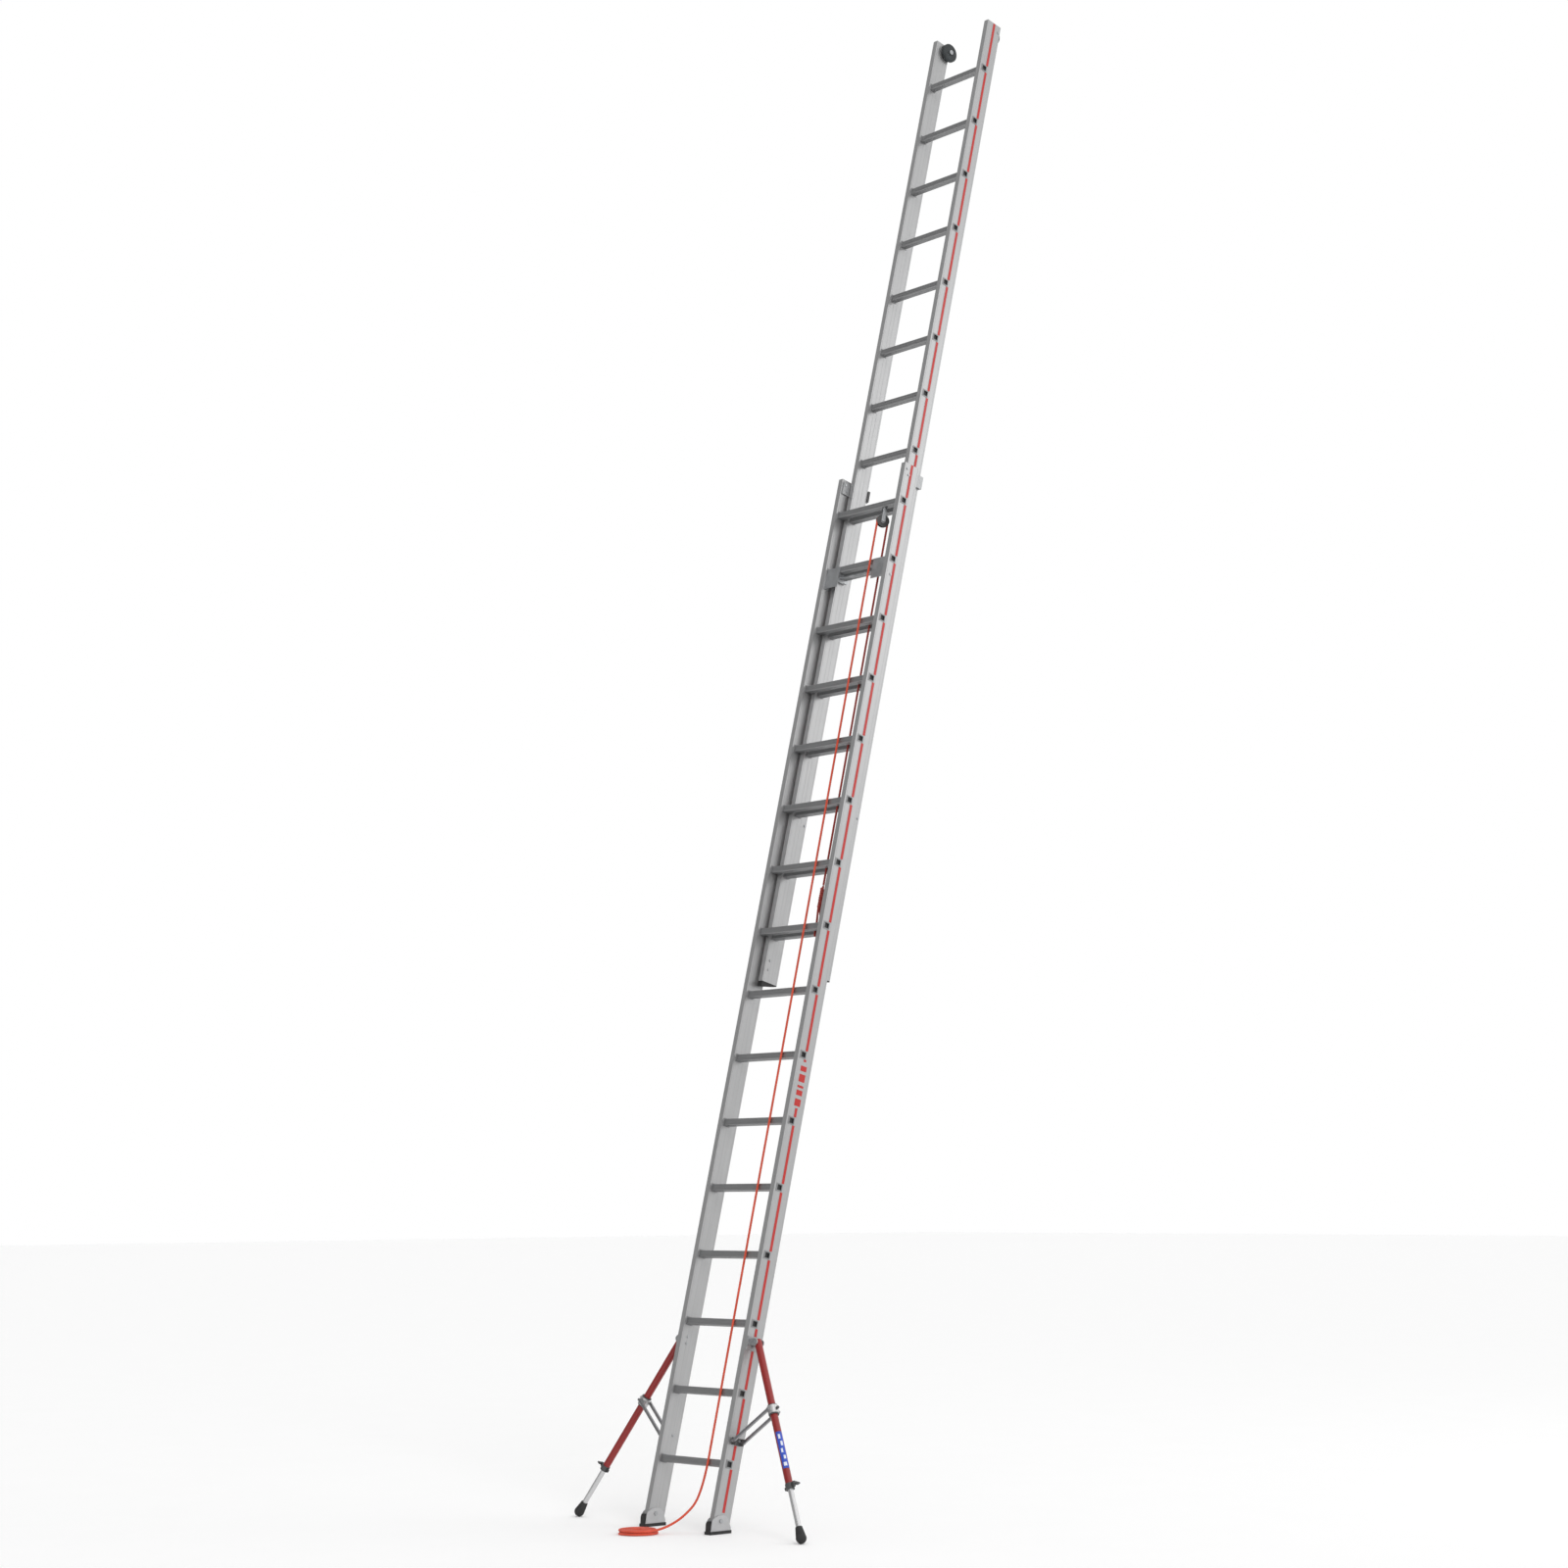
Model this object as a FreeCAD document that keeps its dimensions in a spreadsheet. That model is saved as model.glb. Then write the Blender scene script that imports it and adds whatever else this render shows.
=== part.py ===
import FreeCAD, Part
import math
import os
import re
import Sketcher

# Two-section rope-operated extension ladder with folding stabiliser legs.
#
# Row frame: origin on the floor, midway between the base stiles, under their front face.
# X runs to the climber's right, Y towards the wall, Z up.
# The ladder leans towards +Y. Everything fixed to a stile is drawn in the ladder's own frame:
# x sideways, y back from the front face of the base stiles, z up along the stiles.

DIMENSIONS = [
    ("lean_angle", 14.1, "lean of the stiles from vertical, degrees"),
    ("base_width", 430, "over the base stiles"),
    ("fly_width", 360, "over the fly stiles"),
    ("stile_width", 25, "stile section, sideways"),
    ("stile_depth", 85, "stile section, front to back"),
    ("stile_wall", 2.5, "stile wall"),
    ("fly_setback", 45, "fly front face behind the base front face"),
    ("rung_count", 16, "rungs in each section"),
    ("rung_pitch", 280, "rung to rung"),
    ("rung_side", 28, "rung section"),
    ("rung_wall", 2.4, "rung wall"),
    ("rung_bevel", 2, "rung corner bevel"),
    ("rung_setback", 27.5, "rung centre behind its stile's front face"),
    ("groove_width", 2.4, "tread groove width"),
    ("groove_depth", 0.8, "tread groove depth"),
    ("bead_side", 34, "crimped bead on the inner stile face"),
    ("bead_thick", 2, "bead thickness"),
    ("flare_side", 33, "flared rung end on the outer stile face"),
    ("flare_thick", 1.5, "flare thickness"),
    ("plug_length", 9, "rung end plug length"),
    ("plug_proud", 0.7, "plug standing out of the flare"),
    ("plug_recess", 5, "recess in the plug's face"),
    ("plug_rim", 3, "rim round the plug's recess"),
    ("base_foot", 52, "lower end of the base stiles"),
    ("base_head", 175, "base stile above its top rung"),
    ("raise_steps", 8, "rung pitches by which the fly is raised"),
    ("seat_drop", 9, "fly rungs sit this much below the base rungs"),
    ("fly_tail", 203, "fly stile below its lowest rung"),
    ("fly_head", 245, "fly stile above its top rung"),
    ("stripe_width", 13, "coloured stripe width"),
    ("stripe_thick", 0.6, "coloured stripe thickness"),
    ("stripe_gap", 18, "half gap in the stripe at each rung"),
    ("bolt_radius", 3, "bolt and rivet shank radius"),
    ("bolt_play", 0.1, "radial play round bolts and pivots"),
    ("head_radius", 5.5, "bolt head radius"),
    ("head_thick", 3, "bolt head thickness"),
    ("guide_drop", 12, "guide top below the stile top"),
    ("guide_tall", 58, "guide height"),
    ("guide_thick", 6.5, "guide side plate thickness"),
    ("guide_flange", 6, "guide rear flange thickness"),
    ("pad_thick", 4, "pad between guide flange and fly"),
    ("pad_play", 0.3, "play between pad and fly"),
    ("wheel_radius", 44, "wall wheel radius"),
    ("wheel_wide", 20, "wall wheel width"),
    ("wheel_back", 75, "wheel axis behind the fly front face"),
    ("wheel_drop", 30, "wheel axis below the fly stile top"),
    ("axle_radius", 6, "wheel axle radius"),
    ("shoe_bolt_back", 36, "shoe pivot behind the front face"),
    ("shoe_bolt_up", 60, "shoe pivot up the stile"),
    ("shoe_bolt_radius", 5, "shoe pivot radius"),
    ("shoe_plate", 3, "shoe shell plate thickness"),
    ("shoe_gap", 0.3, "gap between shoe shell and stile"),
    ("sole_thick", 12, "rubber sole thickness"),
    ("sole_side", 3, "sole wider than the shell, each side"),
    ("rope_radius", 5, "rope radius"),
    ("sheave_radius", 29, "sheave outer radius"),
    ("sheave_wide", 14, "sheave width"),
    ("wrap_radius", 24, "rope centre line round the sheave"),
    ("sheave_side", 101, "sheave centre, sideways"),
    ("sheave_back", 28, "sheave centre behind the front face"),
    ("sheave_drop", 78, "sheave centre below base rung 16"),
    ("sheave_yaw", 25, "turn of the sheave about the stile direction, degrees"),
    ("sheave_pin", 5, "sheave axle radius"),
    ("cheek_thick", 2.5, "pulley cheek thickness"),
    ("latch_plate", 3, "latch sheet thickness"),
    ("latch_reach", 108, "inner edge of the latch bracket"),
    ("shaft_radius", 7, "latch shaft radius"),
    ("shaft_back", 30, "latch shaft behind the front face"),
    ("shaft_drop", 38, "latch shaft below base rung 15"),
    ("hook_inner", 138, "latch hook inner face"),
    ("hook_wide", 8, "latch hook thickness"),
    ("hook_play", 0.3, "gap between hook and fly rung"),
    ("spring_wire", 3, "torsion spring wire"),
    ("spring_turns", 7, "torsion spring turns"),
    ("leg_angle", 31.3, "leg from the stile when spread, degrees"),
    ("leg_pivot_out", 25, "leg pivot outside the stile's outer face"),
    ("leg_pivot_up", 768, "leg pivot up the stile"),
    ("leg_radius", 15, "outer leg tube radius"),
    ("leg_wall", 2.3, "outer leg tube wall"),
    ("leg_top", 10, "outer tube above the pivot"),
    ("leg_length", 641, "outer tube below the pivot"),
    ("leg_pin", 5, "leg pivot bolt radius"),
    ("ear_gap", 1, "gap between leg tube and bracket ear"),
    ("ear_thick", 4, "bracket ear thickness"),
    ("slim_radius", 11, "inner leg tube radius"),
    ("slim_wall", 1.8, "inner leg tube wall"),
    ("slim_hidden", 165, "inner tube inside the outer tube"),
    ("slim_shown", 200, "inner tube below the outer tube"),
    ("foot_radius", 21, "leg foot tip radius"),
    ("foot_reach", 860.6, "leg foot tip centre from the pivot"),
    ("collar_at", 308, "collar from the pivot when spread"),
    ("collar_tall", 34, "collar height"),
    ("collar_radius", 22, "collar outer radius"),
    ("bush_wall", 1.8, "collar bush wall"),
    ("strut_up", 372, "strut pivot up the stile"),
    ("strut_out", 13, "strut pivot outside the stile's outer face"),
    ("strut_inner", 23.3, "strut inner face from the leg's mid plane"),
    ("strut_thick", 8, "strut thickness"),
    ("strut_wide", 12, "strut width"),
    ("block_plate", 6, "strut block base thickness"),
    ("block_tall", 28, "strut block height"),
    ("knot_side", 119, "rope knot, sideways"),
    ("knot_back", 52.9, "rope knot behind the front face"),
    ("knot_above", 87, "knot's lower end above the lowest fly rung"),
    ("knot_long", 115, "knot length"),
    ("coil_radius", 84, "coil of spare rope, outer radius"),
    ("coil_tall", 20.6, "coil height"),
    ("coil_side", -17, "coil centre, sideways"),
    ("coil_front", -180, "coil centre, front to back"),
]

V = FreeCAD.Vector
doc = FreeCAD.newDocument("extension_ladder")
sheet = doc.addObject("Spreadsheet::Sheet", "dims")
for row, (alias, value, note) in enumerate(DIMENSIONS, start=1):
    sheet.set(f"A{row}", alias)
    sheet.set(f"B{row}", str(value))
    sheet.set(f"C{row}", note)
    sheet.setAlias(f"B{row}", alias)
doc.recompute()


def size(alias):
    """The sheet's value of one driving dimension."""
    return float(sheet.get(alias))


LEAN = FreeCAD.Placement(V(0, 0, 0), FreeCAD.Rotation(V(1, 0, 0), -size("lean_angle")))
UPRIGHT = FreeCAD.Placement()

# Expressions over the sheet, in the ladder's own frame.
OUTER = "base_width / 2"
INNER = "(base_width / 2 - stile_width)"
FLY_OUTER = "fly_width / 2"
FLY_INNER = "(fly_width / 2 - stile_width)"
BASE_TOP = "(rung_count * rung_pitch + base_head)"
FLY_FIRST = "((raise_steps + 1) * rung_pitch - seat_drop)"
FLY_BOTTOM = f"({FLY_FIRST} - fly_tail)"
FLY_TOP = f"({FLY_FIRST} + (rung_count - 1) * rung_pitch + fly_head)"
FLY_BACK = "(fly_setback + stile_depth)"
GUIDE_TOP = f"({BASE_TOP} - guide_drop)"
GUIDE_BACK = f"({FLY_BACK} + pad_play + pad_thick)"
MID_DEPTH = "stile_depth / 2"
SHAFT_UP = "((rung_count - 1) * rung_pitch - shaft_drop)"
LATCH_RUNG = "((rung_count - 1) * rung_pitch)"
SHEAVE_UP = "(rung_count * rung_pitch - sheave_drop)"
WHEEL_UP = f"({FLY_TOP} - wheel_drop)"
WHEEL_BACK = "(fly_setback + wheel_back)"
LEG_OUT = "(base_width / 2 + leg_pivot_out)"

WORD = re.compile(r"\b([a-z][a-z_]*)\b")
FUNCTIONS = ("sin", "cos", "tan")
TURN = {
    "x": FreeCAD.Rotation(V(0, 1, 0), 90),
    "y": FreeCAD.Rotation(V(1, 0, 0), -90),
    "z": FreeCAD.Rotation(),
}


def expression(text):
    """Point every dimension's name in text at the sheet."""
    def point(word):
        name = word.group(1)
        return name if name in FUNCTIONS else "dims." + name

    return WORD.sub(point, str(text))


def bind(target, prop, text):
    target.setExpression(prop, expression(text))


def put(target, low):
    for axis, text in zip("xyz", low):
        bind(target, "Placement.Base." + axis, text)


def box(low, span):
    """Block with its lowest corner at low."""
    block = doc.addObject("Part::Box", "block")
    for prop, text in zip(("Length", "Width", "Height"), span):
        bind(block, prop, text)
    put(block, low)
    return block


def rod(axis, start, radius, length):
    """Round bar from start along one axis."""
    bar = doc.addObject("Part::Cylinder", "rod")
    bar.Placement.Rotation = TURN[axis]
    bind(bar, "Radius", radius)
    bind(bar, "Height", length)
    put(bar, start)
    return bar


def fuse(*pieces):
    joined = doc.addObject("Part::MultiFuse", "fused")
    joined.Shapes = list(pieces)
    return joined


def cut(base, *tools):
    result = doc.addObject("Part::Cut", "cut")
    result.Base = base
    result.Tool = tools[0] if len(tools) == 1 else fuse(*tools)
    return result


def origin_plane(body, role):
    return next(item for item in body.Origin.OriginFeatures if item.Role == role)


worked = doc.addObject("Spreadsheet::Sheet", "worked_out")


def number(text):
    """Value of an expression over the driving dimensions."""
    worked.set("A1", "=" + expression(text))
    worked.recompute()
    return float(worked.get("A1"))


def outline(body, role, loops, offset="0"):
    """Sketch of closed straight-sided loops, each corner tied to the sheet."""
    sketch = body.newObject("Sketcher::SketchObject", "outline")
    sketch.AttachmentSupport = [(origin_plane(body, role), "")]
    sketch.MapMode = "FlatFace"
    bind(sketch, "AttachmentOffset.Base.z", offset)
    first = 0
    for loop in loops:
        corners = [(number(across), number(along)) for across, along in loop]
        count = len(corners)
        for index in range(count):
            start = V(*corners[index], 0)
            end = V(*corners[(index + 1) % count], 0)
            sketch.addGeometry(Part.LineSegment(start, end))
        for index in range(count):
            following = first + (index + 1) % count
            sketch.addConstraint(Sketcher.Constraint("Coincident", first + index, 2, following, 1))
        for index, texts in enumerate(loop):
            for kind, value, text in zip(("DistanceX", "DistanceY"), corners[index], texts):
                place = sketch.addConstraint(Sketcher.Constraint(kind, first + index, 1, value))
                bind(sketch, f"Constraints[{place}]", text)
        first += count
    return sketch


def rectangle(low, high):
    (left, bottom), (right, top) = low, high
    return [(left, bottom), (right, bottom), (right, top), (left, top)]


def prism(role, loops, length, offset="0", centred=False):
    """Body padded from an outline on one of its own origin planes."""
    body = doc.addObject("PartDesign::Body", "body")
    sketch = outline(body, role, loops, offset)
    pad = body.newObject("PartDesign::Pad", "pad")
    pad.Profile = sketch
    bind(pad, "Length", length)
    if centred:
        pad.SideType = "Symmetric"
    sketch.Visibility = False
    return body


def turned(loop):
    """Body of revolution about its own Z axis, from an outline in X (radius) and Z."""
    body = doc.addObject("PartDesign::Body", "body")
    sketch = outline(body, "XZ_Plane", [loop])
    spin = body.newObject("PartDesign::Revolution", "spin")
    spin.Profile = sketch
    spin.ReferenceAxis = (sketch, ["V_Axis"])
    spin.Angle = 360
    return body


nodes = []


def node(label, piece, placement=LEAN):
    """Name a finished sub-part and stand it in the row frame."""
    piece.Label = label
    piece.Placement = placement
    nodes.append(piece)
    return piece


def mirrored(label, source):
    """Left-hand twin of a finished right-hand sub-part."""
    twin = doc.addObject("Part::Mirroring", "twin")
    twin.Source = source
    twin.Normal = V(1, 0, 0)
    twin.Base = V(0, 0, 0)
    return node(label, twin, UPRIGHT)


def pair(name, piece, placement=LEAN):
    """Right-hand sub-part and its mirror image."""
    right = node(name + "_right", piece, placement)
    mirrored(name + "_left", right)
    return right


def twins(label, pieces, placement=LEAN):
    """Right-hand pieces and their mirror images kept as one sub-part."""
    links = list(pieces)
    for piece in pieces:
        twin = doc.addObject("Part::Mirroring", "twin")
        twin.Source = piece
        twin.Normal = V(1, 0, 0)
        twin.Base = V(0, 0, 0)
        links.append(twin)
    both = doc.addObject("Part::Compound", "both")
    both.Links = links
    return node(label, both, placement)


def group(label, shapes, placement=LEAN):
    """Separate solids worked out from the sheet and kept as one sub-part."""
    piece = doc.addObject("Part::Feature", "group")
    piece.Shape = Part.makeCompound(shapes)
    return node(label, piece, placement)


def copies(shape, moves):
    result = []
    for move in moves:
        twin = shape.copy()
        twin.translate(move)
        result.append(twin)
    return result


def both_sides(shapes):
    """The shapes and their mirror images in the plane x = 0."""
    return shapes + [shape.mirror(V(0, 0, 0), V(1, 0, 0)) for shape in shapes]


# Bolts that cross the stiles, as (y, z).
GUIDE_BOLTS = [(18, f"({GUIDE_TOP} - 14)"), (30, f"({GUIDE_TOP} - 40)")]
LATCH_BOLTS = [(29, f"({LATCH_RUNG} - 74)")]
LEG_BOLTS = [(f"({MID_DEPTH} - 9)", "(leg_pivot_up + 9)"), (f"({MID_DEPTH} - 9)", "(leg_pivot_up - 19)")]
BLOCK_BOLTS = [(f"({MID_DEPTH} + 10)", "(strut_up + 4)")]
SLIDER_BOLTS = [("(fly_setback + 24)", f"({FLY_BOTTOM} + {up})") for up in (55, 95)]
STOP_BOLTS = [("(fly_setback + 77)", f"({FLY_FIRST} + 521)")]


def stile(inner_x, y_low, z_low, z_high, hole_y, first_hole):
    """Hollow stile with a square hole for each rung."""
    outer = rectangle((inner_x, y_low), (f"({inner_x} + stile_width)", f"({y_low} + stile_depth)"))
    hollow = rectangle(
        (f"({inner_x} + stile_wall)", f"({y_low} + stile_wall)"),
        (f"({inner_x} + stile_width - stile_wall)", f"({y_low} + stile_depth - stile_wall)"),
    )
    body = prism("XY_Plane", [outer, hollow], f"({z_high} - {z_low})", z_low)
    hole = outline(
        body,
        "YZ_Plane",
        [
            rectangle(
                (f"({hole_y} - rung_side / 2)", f"({first_hole} - rung_side / 2)"),
                (f"({hole_y} + rung_side / 2)", f"({first_hole} + rung_side / 2)"),
            )
        ],
    )
    pocket = body.newObject("PartDesign::Pocket", "rung_hole")
    pocket.Profile = hole
    pocket.Type = "ThroughAll"
    pocket.SideType = "Symmetric"
    row = body.newObject("PartDesign::LinearPattern", "rung_holes")
    row.Originals = [pocket]
    row.Direction = (origin_plane(body, "Z_Axis"), [""])
    bind(row, "Length", "(rung_count - 1) * rung_pitch")
    bind(row, "Occurrences", "rung_count")
    body.Tip = row
    return body


def drill(places, radius):
    """Tools for cross holes at (y, z) places."""
    return [rod("x", ("fly_width / 4", y, z), radius, "base_width") for y, z in places]


def base_stiles():
    body = stile(INNER, "0", "base_foot", BASE_TOP, "rung_setback", "rung_pitch")
    bolts = GUIDE_BOLTS + LATCH_BOLTS + LEG_BOLTS + BLOCK_BOLTS
    pivot = drill([("shoe_bolt_back", "shoe_bolt_up")], "shoe_bolt_radius")
    pair("base_stile", cut(body, *drill(bolts, "bolt_radius"), *pivot))


def fly_stiles():
    body = stile(FLY_INNER, "fly_setback", FLY_BOTTOM, FLY_TOP, "(fly_setback + rung_setback)", FLY_FIRST)
    axle = drill([(WHEEL_BACK, WHEEL_UP)], "axle_radius")
    pair("fly_stile", cut(body, *drill(SLIDER_BOLTS + STOP_BOLTS, "bolt_radius"), *axle))


def rung(width, y_centre):
    """One rung at z = 0, a grooved square tube, and its collars either side of each stile."""
    half, bevel = "rung_side / 2", "rung_bevel"
    near, far = f"({half} - {bevel})", half
    ring = [
        (f"-{near}", f"-{far}"), (near, f"-{far}"), (far, f"-{near}"), (far, near),
        (near, far), (f"-{near}", far), (f"-{far}", near), (f"-{far}", f"-{near}"),
    ]
    ring = [(f"({y_centre} + ({across}))", up) for across, up in ring]
    bore = f"({half} - rung_wall)"
    hollow = rectangle((f"({y_centre} - {bore})", f"-{bore}"), (f"({y_centre} + {bore})", bore))
    long = f"({width} + 2 * flare_thick)"
    tube = prism("YZ_Plane", [ring, hollow], long, centred=True)
    collars = []
    for low, side, thick in (
        (f"({width} / 2)", "flare_side", "flare_thick"),
        (f"(-{width} / 2 - flare_thick)", "flare_side", "flare_thick"),
        (f"({width} / 2 - stile_width - bead_thick)", "bead_side", "bead_thick"),
        (f"(-{width} / 2 + stile_width)", "bead_side", "bead_thick"),
    ):
        square = box((low, f"({y_centre} - {side} / 2)", f"(-{side} / 2)"), (thick, side, side))
        inside = prism("YZ_Plane", [ring], f"({long} + 2)", centred=True)
        collars.append(cut(square, inside))
    grooved = f"({width} / 2 - stile_width - bead_thick - 4)"
    grooves = []
    for step in (-1, 0, 1):
        across = f"({y_centre} + ({step * 7}) - groove_width / 2)"
        for low in ("(rung_side / 2 - groove_depth)", "(-rung_side / 2 - 1)"):
            span = (f"2 * {grooved}", "groove_width", "(groove_depth + 1)")
            grooves.append(box((f"-{grooved}", across, low), span))
    for low in ("(5 - groove_width / 2)", "(-5 - groove_width / 2)"):
        front = f"({y_centre} - rung_side / 2 - 1)"
        span = (f"2 * {grooved}", "(groove_depth + 1)", "groove_width")
        grooves.append(box((f"-{grooved}", front, low), span))
    return cut(tube, *grooves), collars


def plug(width, y_centre):
    """Right-hand rung end plug at z = 0, open to the outside."""
    bore = "(rung_side / 2 - rung_wall)"
    outer_x = f"({width} / 2 + flare_thick + plug_proud)"
    block = box(
        (f"({outer_x} - plug_length)", f"({y_centre} - {bore})", f"-{bore}"),
        ("plug_length", f"2 * {bore}", f"2 * {bore}"),
    )
    dish = f"({bore} - plug_rim)"
    recess = box(
        (f"({outer_x} - plug_recess)", f"({y_centre} - {dish})", f"-{dish}"),
        ("(plug_recess + 1)", f"2 * {dish}", f"2 * {dish}"),
    )
    return cut(block, recess)


def rungs_and_plugs():
    count, pitch = int(size("rung_count")), size("rung_pitch")
    sections = (
        ("base", "base_width", "rung_setback", pitch),
        ("fly", "fly_width", "(fly_setback + rung_setback)", number(FLY_FIRST)),
    )
    for name, width, y_centre, first in sections:
        (one_rung, collars), one_plug = rung(width, y_centre), plug(width, y_centre)
        doc.recompute()
        moves = [V(0, 0, first + step * pitch) for step in range(count)]
        group(name + "_rungs", copies(one_rung.Shape, moves))
        group(name + "_rung_collars", [twin for ring in collars for twin in copies(ring.Shape, moves)])
        group(name + "_rung_plugs", both_sides(copies(one_plug.Shape, moves)))


def stripes():
    """Coloured strips along the outer stile faces, broken at the rung ends and fittings."""
    count, pitch, gap = int(size("rung_count")), size("rung_pitch"), size("stripe_gap")
    fittings = [
        (size("leg_pivot_up") - 36, size("leg_pivot_up") + 22),
        (size("strut_up") - size("block_tall") / 2 - 2, size("strut_up") + size("block_tall") / 2 + 2),
        (6.2 * pitch, 6.9 * pitch),
    ]
    base = (size("base_width") / 2, 0, pitch, size("base_foot") + 41, number(BASE_TOP), fittings)
    fly_ends = (number(FLY_BOTTOM), number(FLY_TOP))
    fly = (size("fly_width") / 2, size("fly_setback"), number(FLY_FIRST), *fly_ends, [])
    for name, (x_face, y_front, first, low, high, gaps) in (("base", base), ("fly", fly)):
        breaks = gaps + [(first + step * pitch - gap, first + step * pitch + gap) for step in range(count)]
        y_low = y_front + (size("stile_depth") - size("stripe_width")) / 2
        runs = []
        start = low
        for off, on in sorted(breaks) + [(high, high)]:
            if off > start:
                corner = V(x_face, y_low, start)
                runs.append(Part.makeBox(size("stripe_thick"), size("stripe_width"), off - start, corner))
            start = max(start, on)
        group(name + "_stripes", both_sides(runs))


def fly_ends():
    """Flat caps on the fly's upper ends, wedge caps cut level with the floor on its lower ends."""
    top = fuse(
        box((FLY_INNER, "fly_setback", FLY_TOP), ("stile_width", "stile_depth", "3")),
        box(
            (f"({FLY_INNER} + stile_wall + 0.3)", "(fly_setback + stile_wall + 0.3)", f"({FLY_TOP} - 12)"),
            ("(stile_width - 2 * stile_wall - 0.6)", "(stile_depth - 2 * stile_wall - 0.6)", "12"),
        ),
    )
    twins("fly_top_caps", [top])
    drop = "stile_depth * tan(lean_angle)"
    wedge = [
        ("fly_setback", FLY_BOTTOM), ("fly_setback", f"({FLY_BOTTOM} - 3.5 - {drop})"),
        (FLY_BACK, f"({FLY_BOTTOM} - 3.5)"), (FLY_BACK, FLY_BOTTOM),
    ]
    cap = prism("YZ_Plane", [wedge], "stile_width", FLY_INNER)
    insert = box(
        (f"({FLY_INNER} + stile_wall + 0.3)", "(fly_setback + stile_wall + 0.3)", FLY_BOTTOM),
        ("(stile_width - 2 * stile_wall - 0.6)", "(stile_depth - 2 * stile_wall - 0.6)", "18"),
    )
    twins("fly_bottom_caps", [fuse(cap, insert)])


def cross_bolt(y, z, x_low, x_high, low_head=True, high_head=True, radius="bolt_radius", head="head_radius"):
    """Bolt along x with a round head at either end."""
    parts = [rod("x", (x_low, y, z), radius, f"({x_high} - {x_low})")]
    if low_head:
        parts.append(rod("x", (f"({x_low} - head_thick)", y, z), head, "head_thick"))
    if high_head:
        parts.append(rod("x", (x_high, y, z), head, "head_thick"))
    return fuse(*parts)


def guides():
    """Cast brackets at the base's top, wrapped round the outside and back of the fly stiles."""
    low = f"({GUIDE_TOP} - guide_tall)"
    plate_x = f"({INNER} - guide_thick)"
    plate = box((plate_x, "8", low), ("guide_thick", f"({GUIDE_BACK} + guide_flange - 8)", "guide_tall"))
    flange = box(
        (f"({FLY_INNER} + 1)", GUIDE_BACK, low),
        (f"({INNER} - {FLY_INNER} - 1)", "guide_flange", "guide_tall"),
    )
    twins("base_guides", [cut(fuse(plate, flange), *drill(GUIDE_BOLTS, "bolt_radius"))])
    pad_low, pad_tall = f"({low} + 3)", "(guide_tall - 6)"
    back_y = f"({FLY_BACK} + pad_play)"
    side = box(
        (f"({FLY_OUTER} + pad_play)", f"({FLY_BACK} - 35)", pad_low),
        (f"({plate_x} - {FLY_OUTER} - pad_play)", f"({GUIDE_BACK} - {FLY_BACK} + 35)", pad_tall),
    )
    back_wide = f"({plate_x} - {FLY_INNER} + 5)"
    back = box((f"({FLY_INNER} - 5)", back_y, pad_low), (back_wide, "pad_thick", pad_tall))
    lip = box((f"({FLY_INNER} - 5)", back_y, pad_low), ("6", "(pad_thick + guide_flange)", pad_tall))
    twins("base_guide_pads", [fuse(side, back, lip)])
    return [cross_bolt(y, z, plate_x, OUTER) for y, z in GUIDE_BOLTS]


def sliders():
    """Plastic blocks at the fly's foot that run on the inner faces of the base stiles."""
    block = box(
        (FLY_OUTER, "(fly_setback + 14)", f"({FLY_BOTTOM} + 40)"),
        (f"({INNER} - {FLY_OUTER} - 0.6)", "20", "70"),
    )
    twins("fly_sliders", [cut(block, *drill(SLIDER_BOLTS, "head_radius"))])
    twins("fly_bolts", [cross_bolt(y, z, FLY_INNER, FLY_OUTER) for y, z in SLIDER_BOLTS + STOP_BOLTS])


def wall_wheels():
    """Wheels on the fly's inner faces at its top, rolling on the wall."""
    near = f"({FLY_INNER} - 3 - wheel_wide)"
    profile = [
        ("(axle_radius + bolt_play)", "0"), ("(wheel_radius - 6)", "0"),
        ("wheel_radius", "5"), ("wheel_radius", "(wheel_wide - 5)"),
        ("(wheel_radius - 6)", "wheel_wide"), ("(axle_radius + bolt_play)", "wheel_wide"),
    ]
    wheel = turned(profile)
    at = V(number(near), number(WHEEL_BACK), number(WHEEL_UP))
    pair("wall_wheel", wheel, LEAN * FreeCAD.Placement(at, TURN["x"]))
    axle = fuse(
        rod("x", (f"({near} - 0.5)", WHEEL_BACK, WHEEL_UP), "axle_radius", f"({FLY_OUTER} - {near} + 0.5)"),
        rod("x", (f"({near} - 6)", WHEEL_BACK, WHEEL_UP), "(axle_radius + 5)", "5.5"),
        rod("x", (f"({FLY_INNER} - 2.7)", WHEEL_BACK, WHEEL_UP), "(axle_radius + 5)", "2.7"),
        rod("x", (FLY_OUTER, WHEEL_BACK, WHEEL_UP), "(axle_radius + 1.5)", "2"),
    )
    twins("wheel_axles", [axle])


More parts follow.
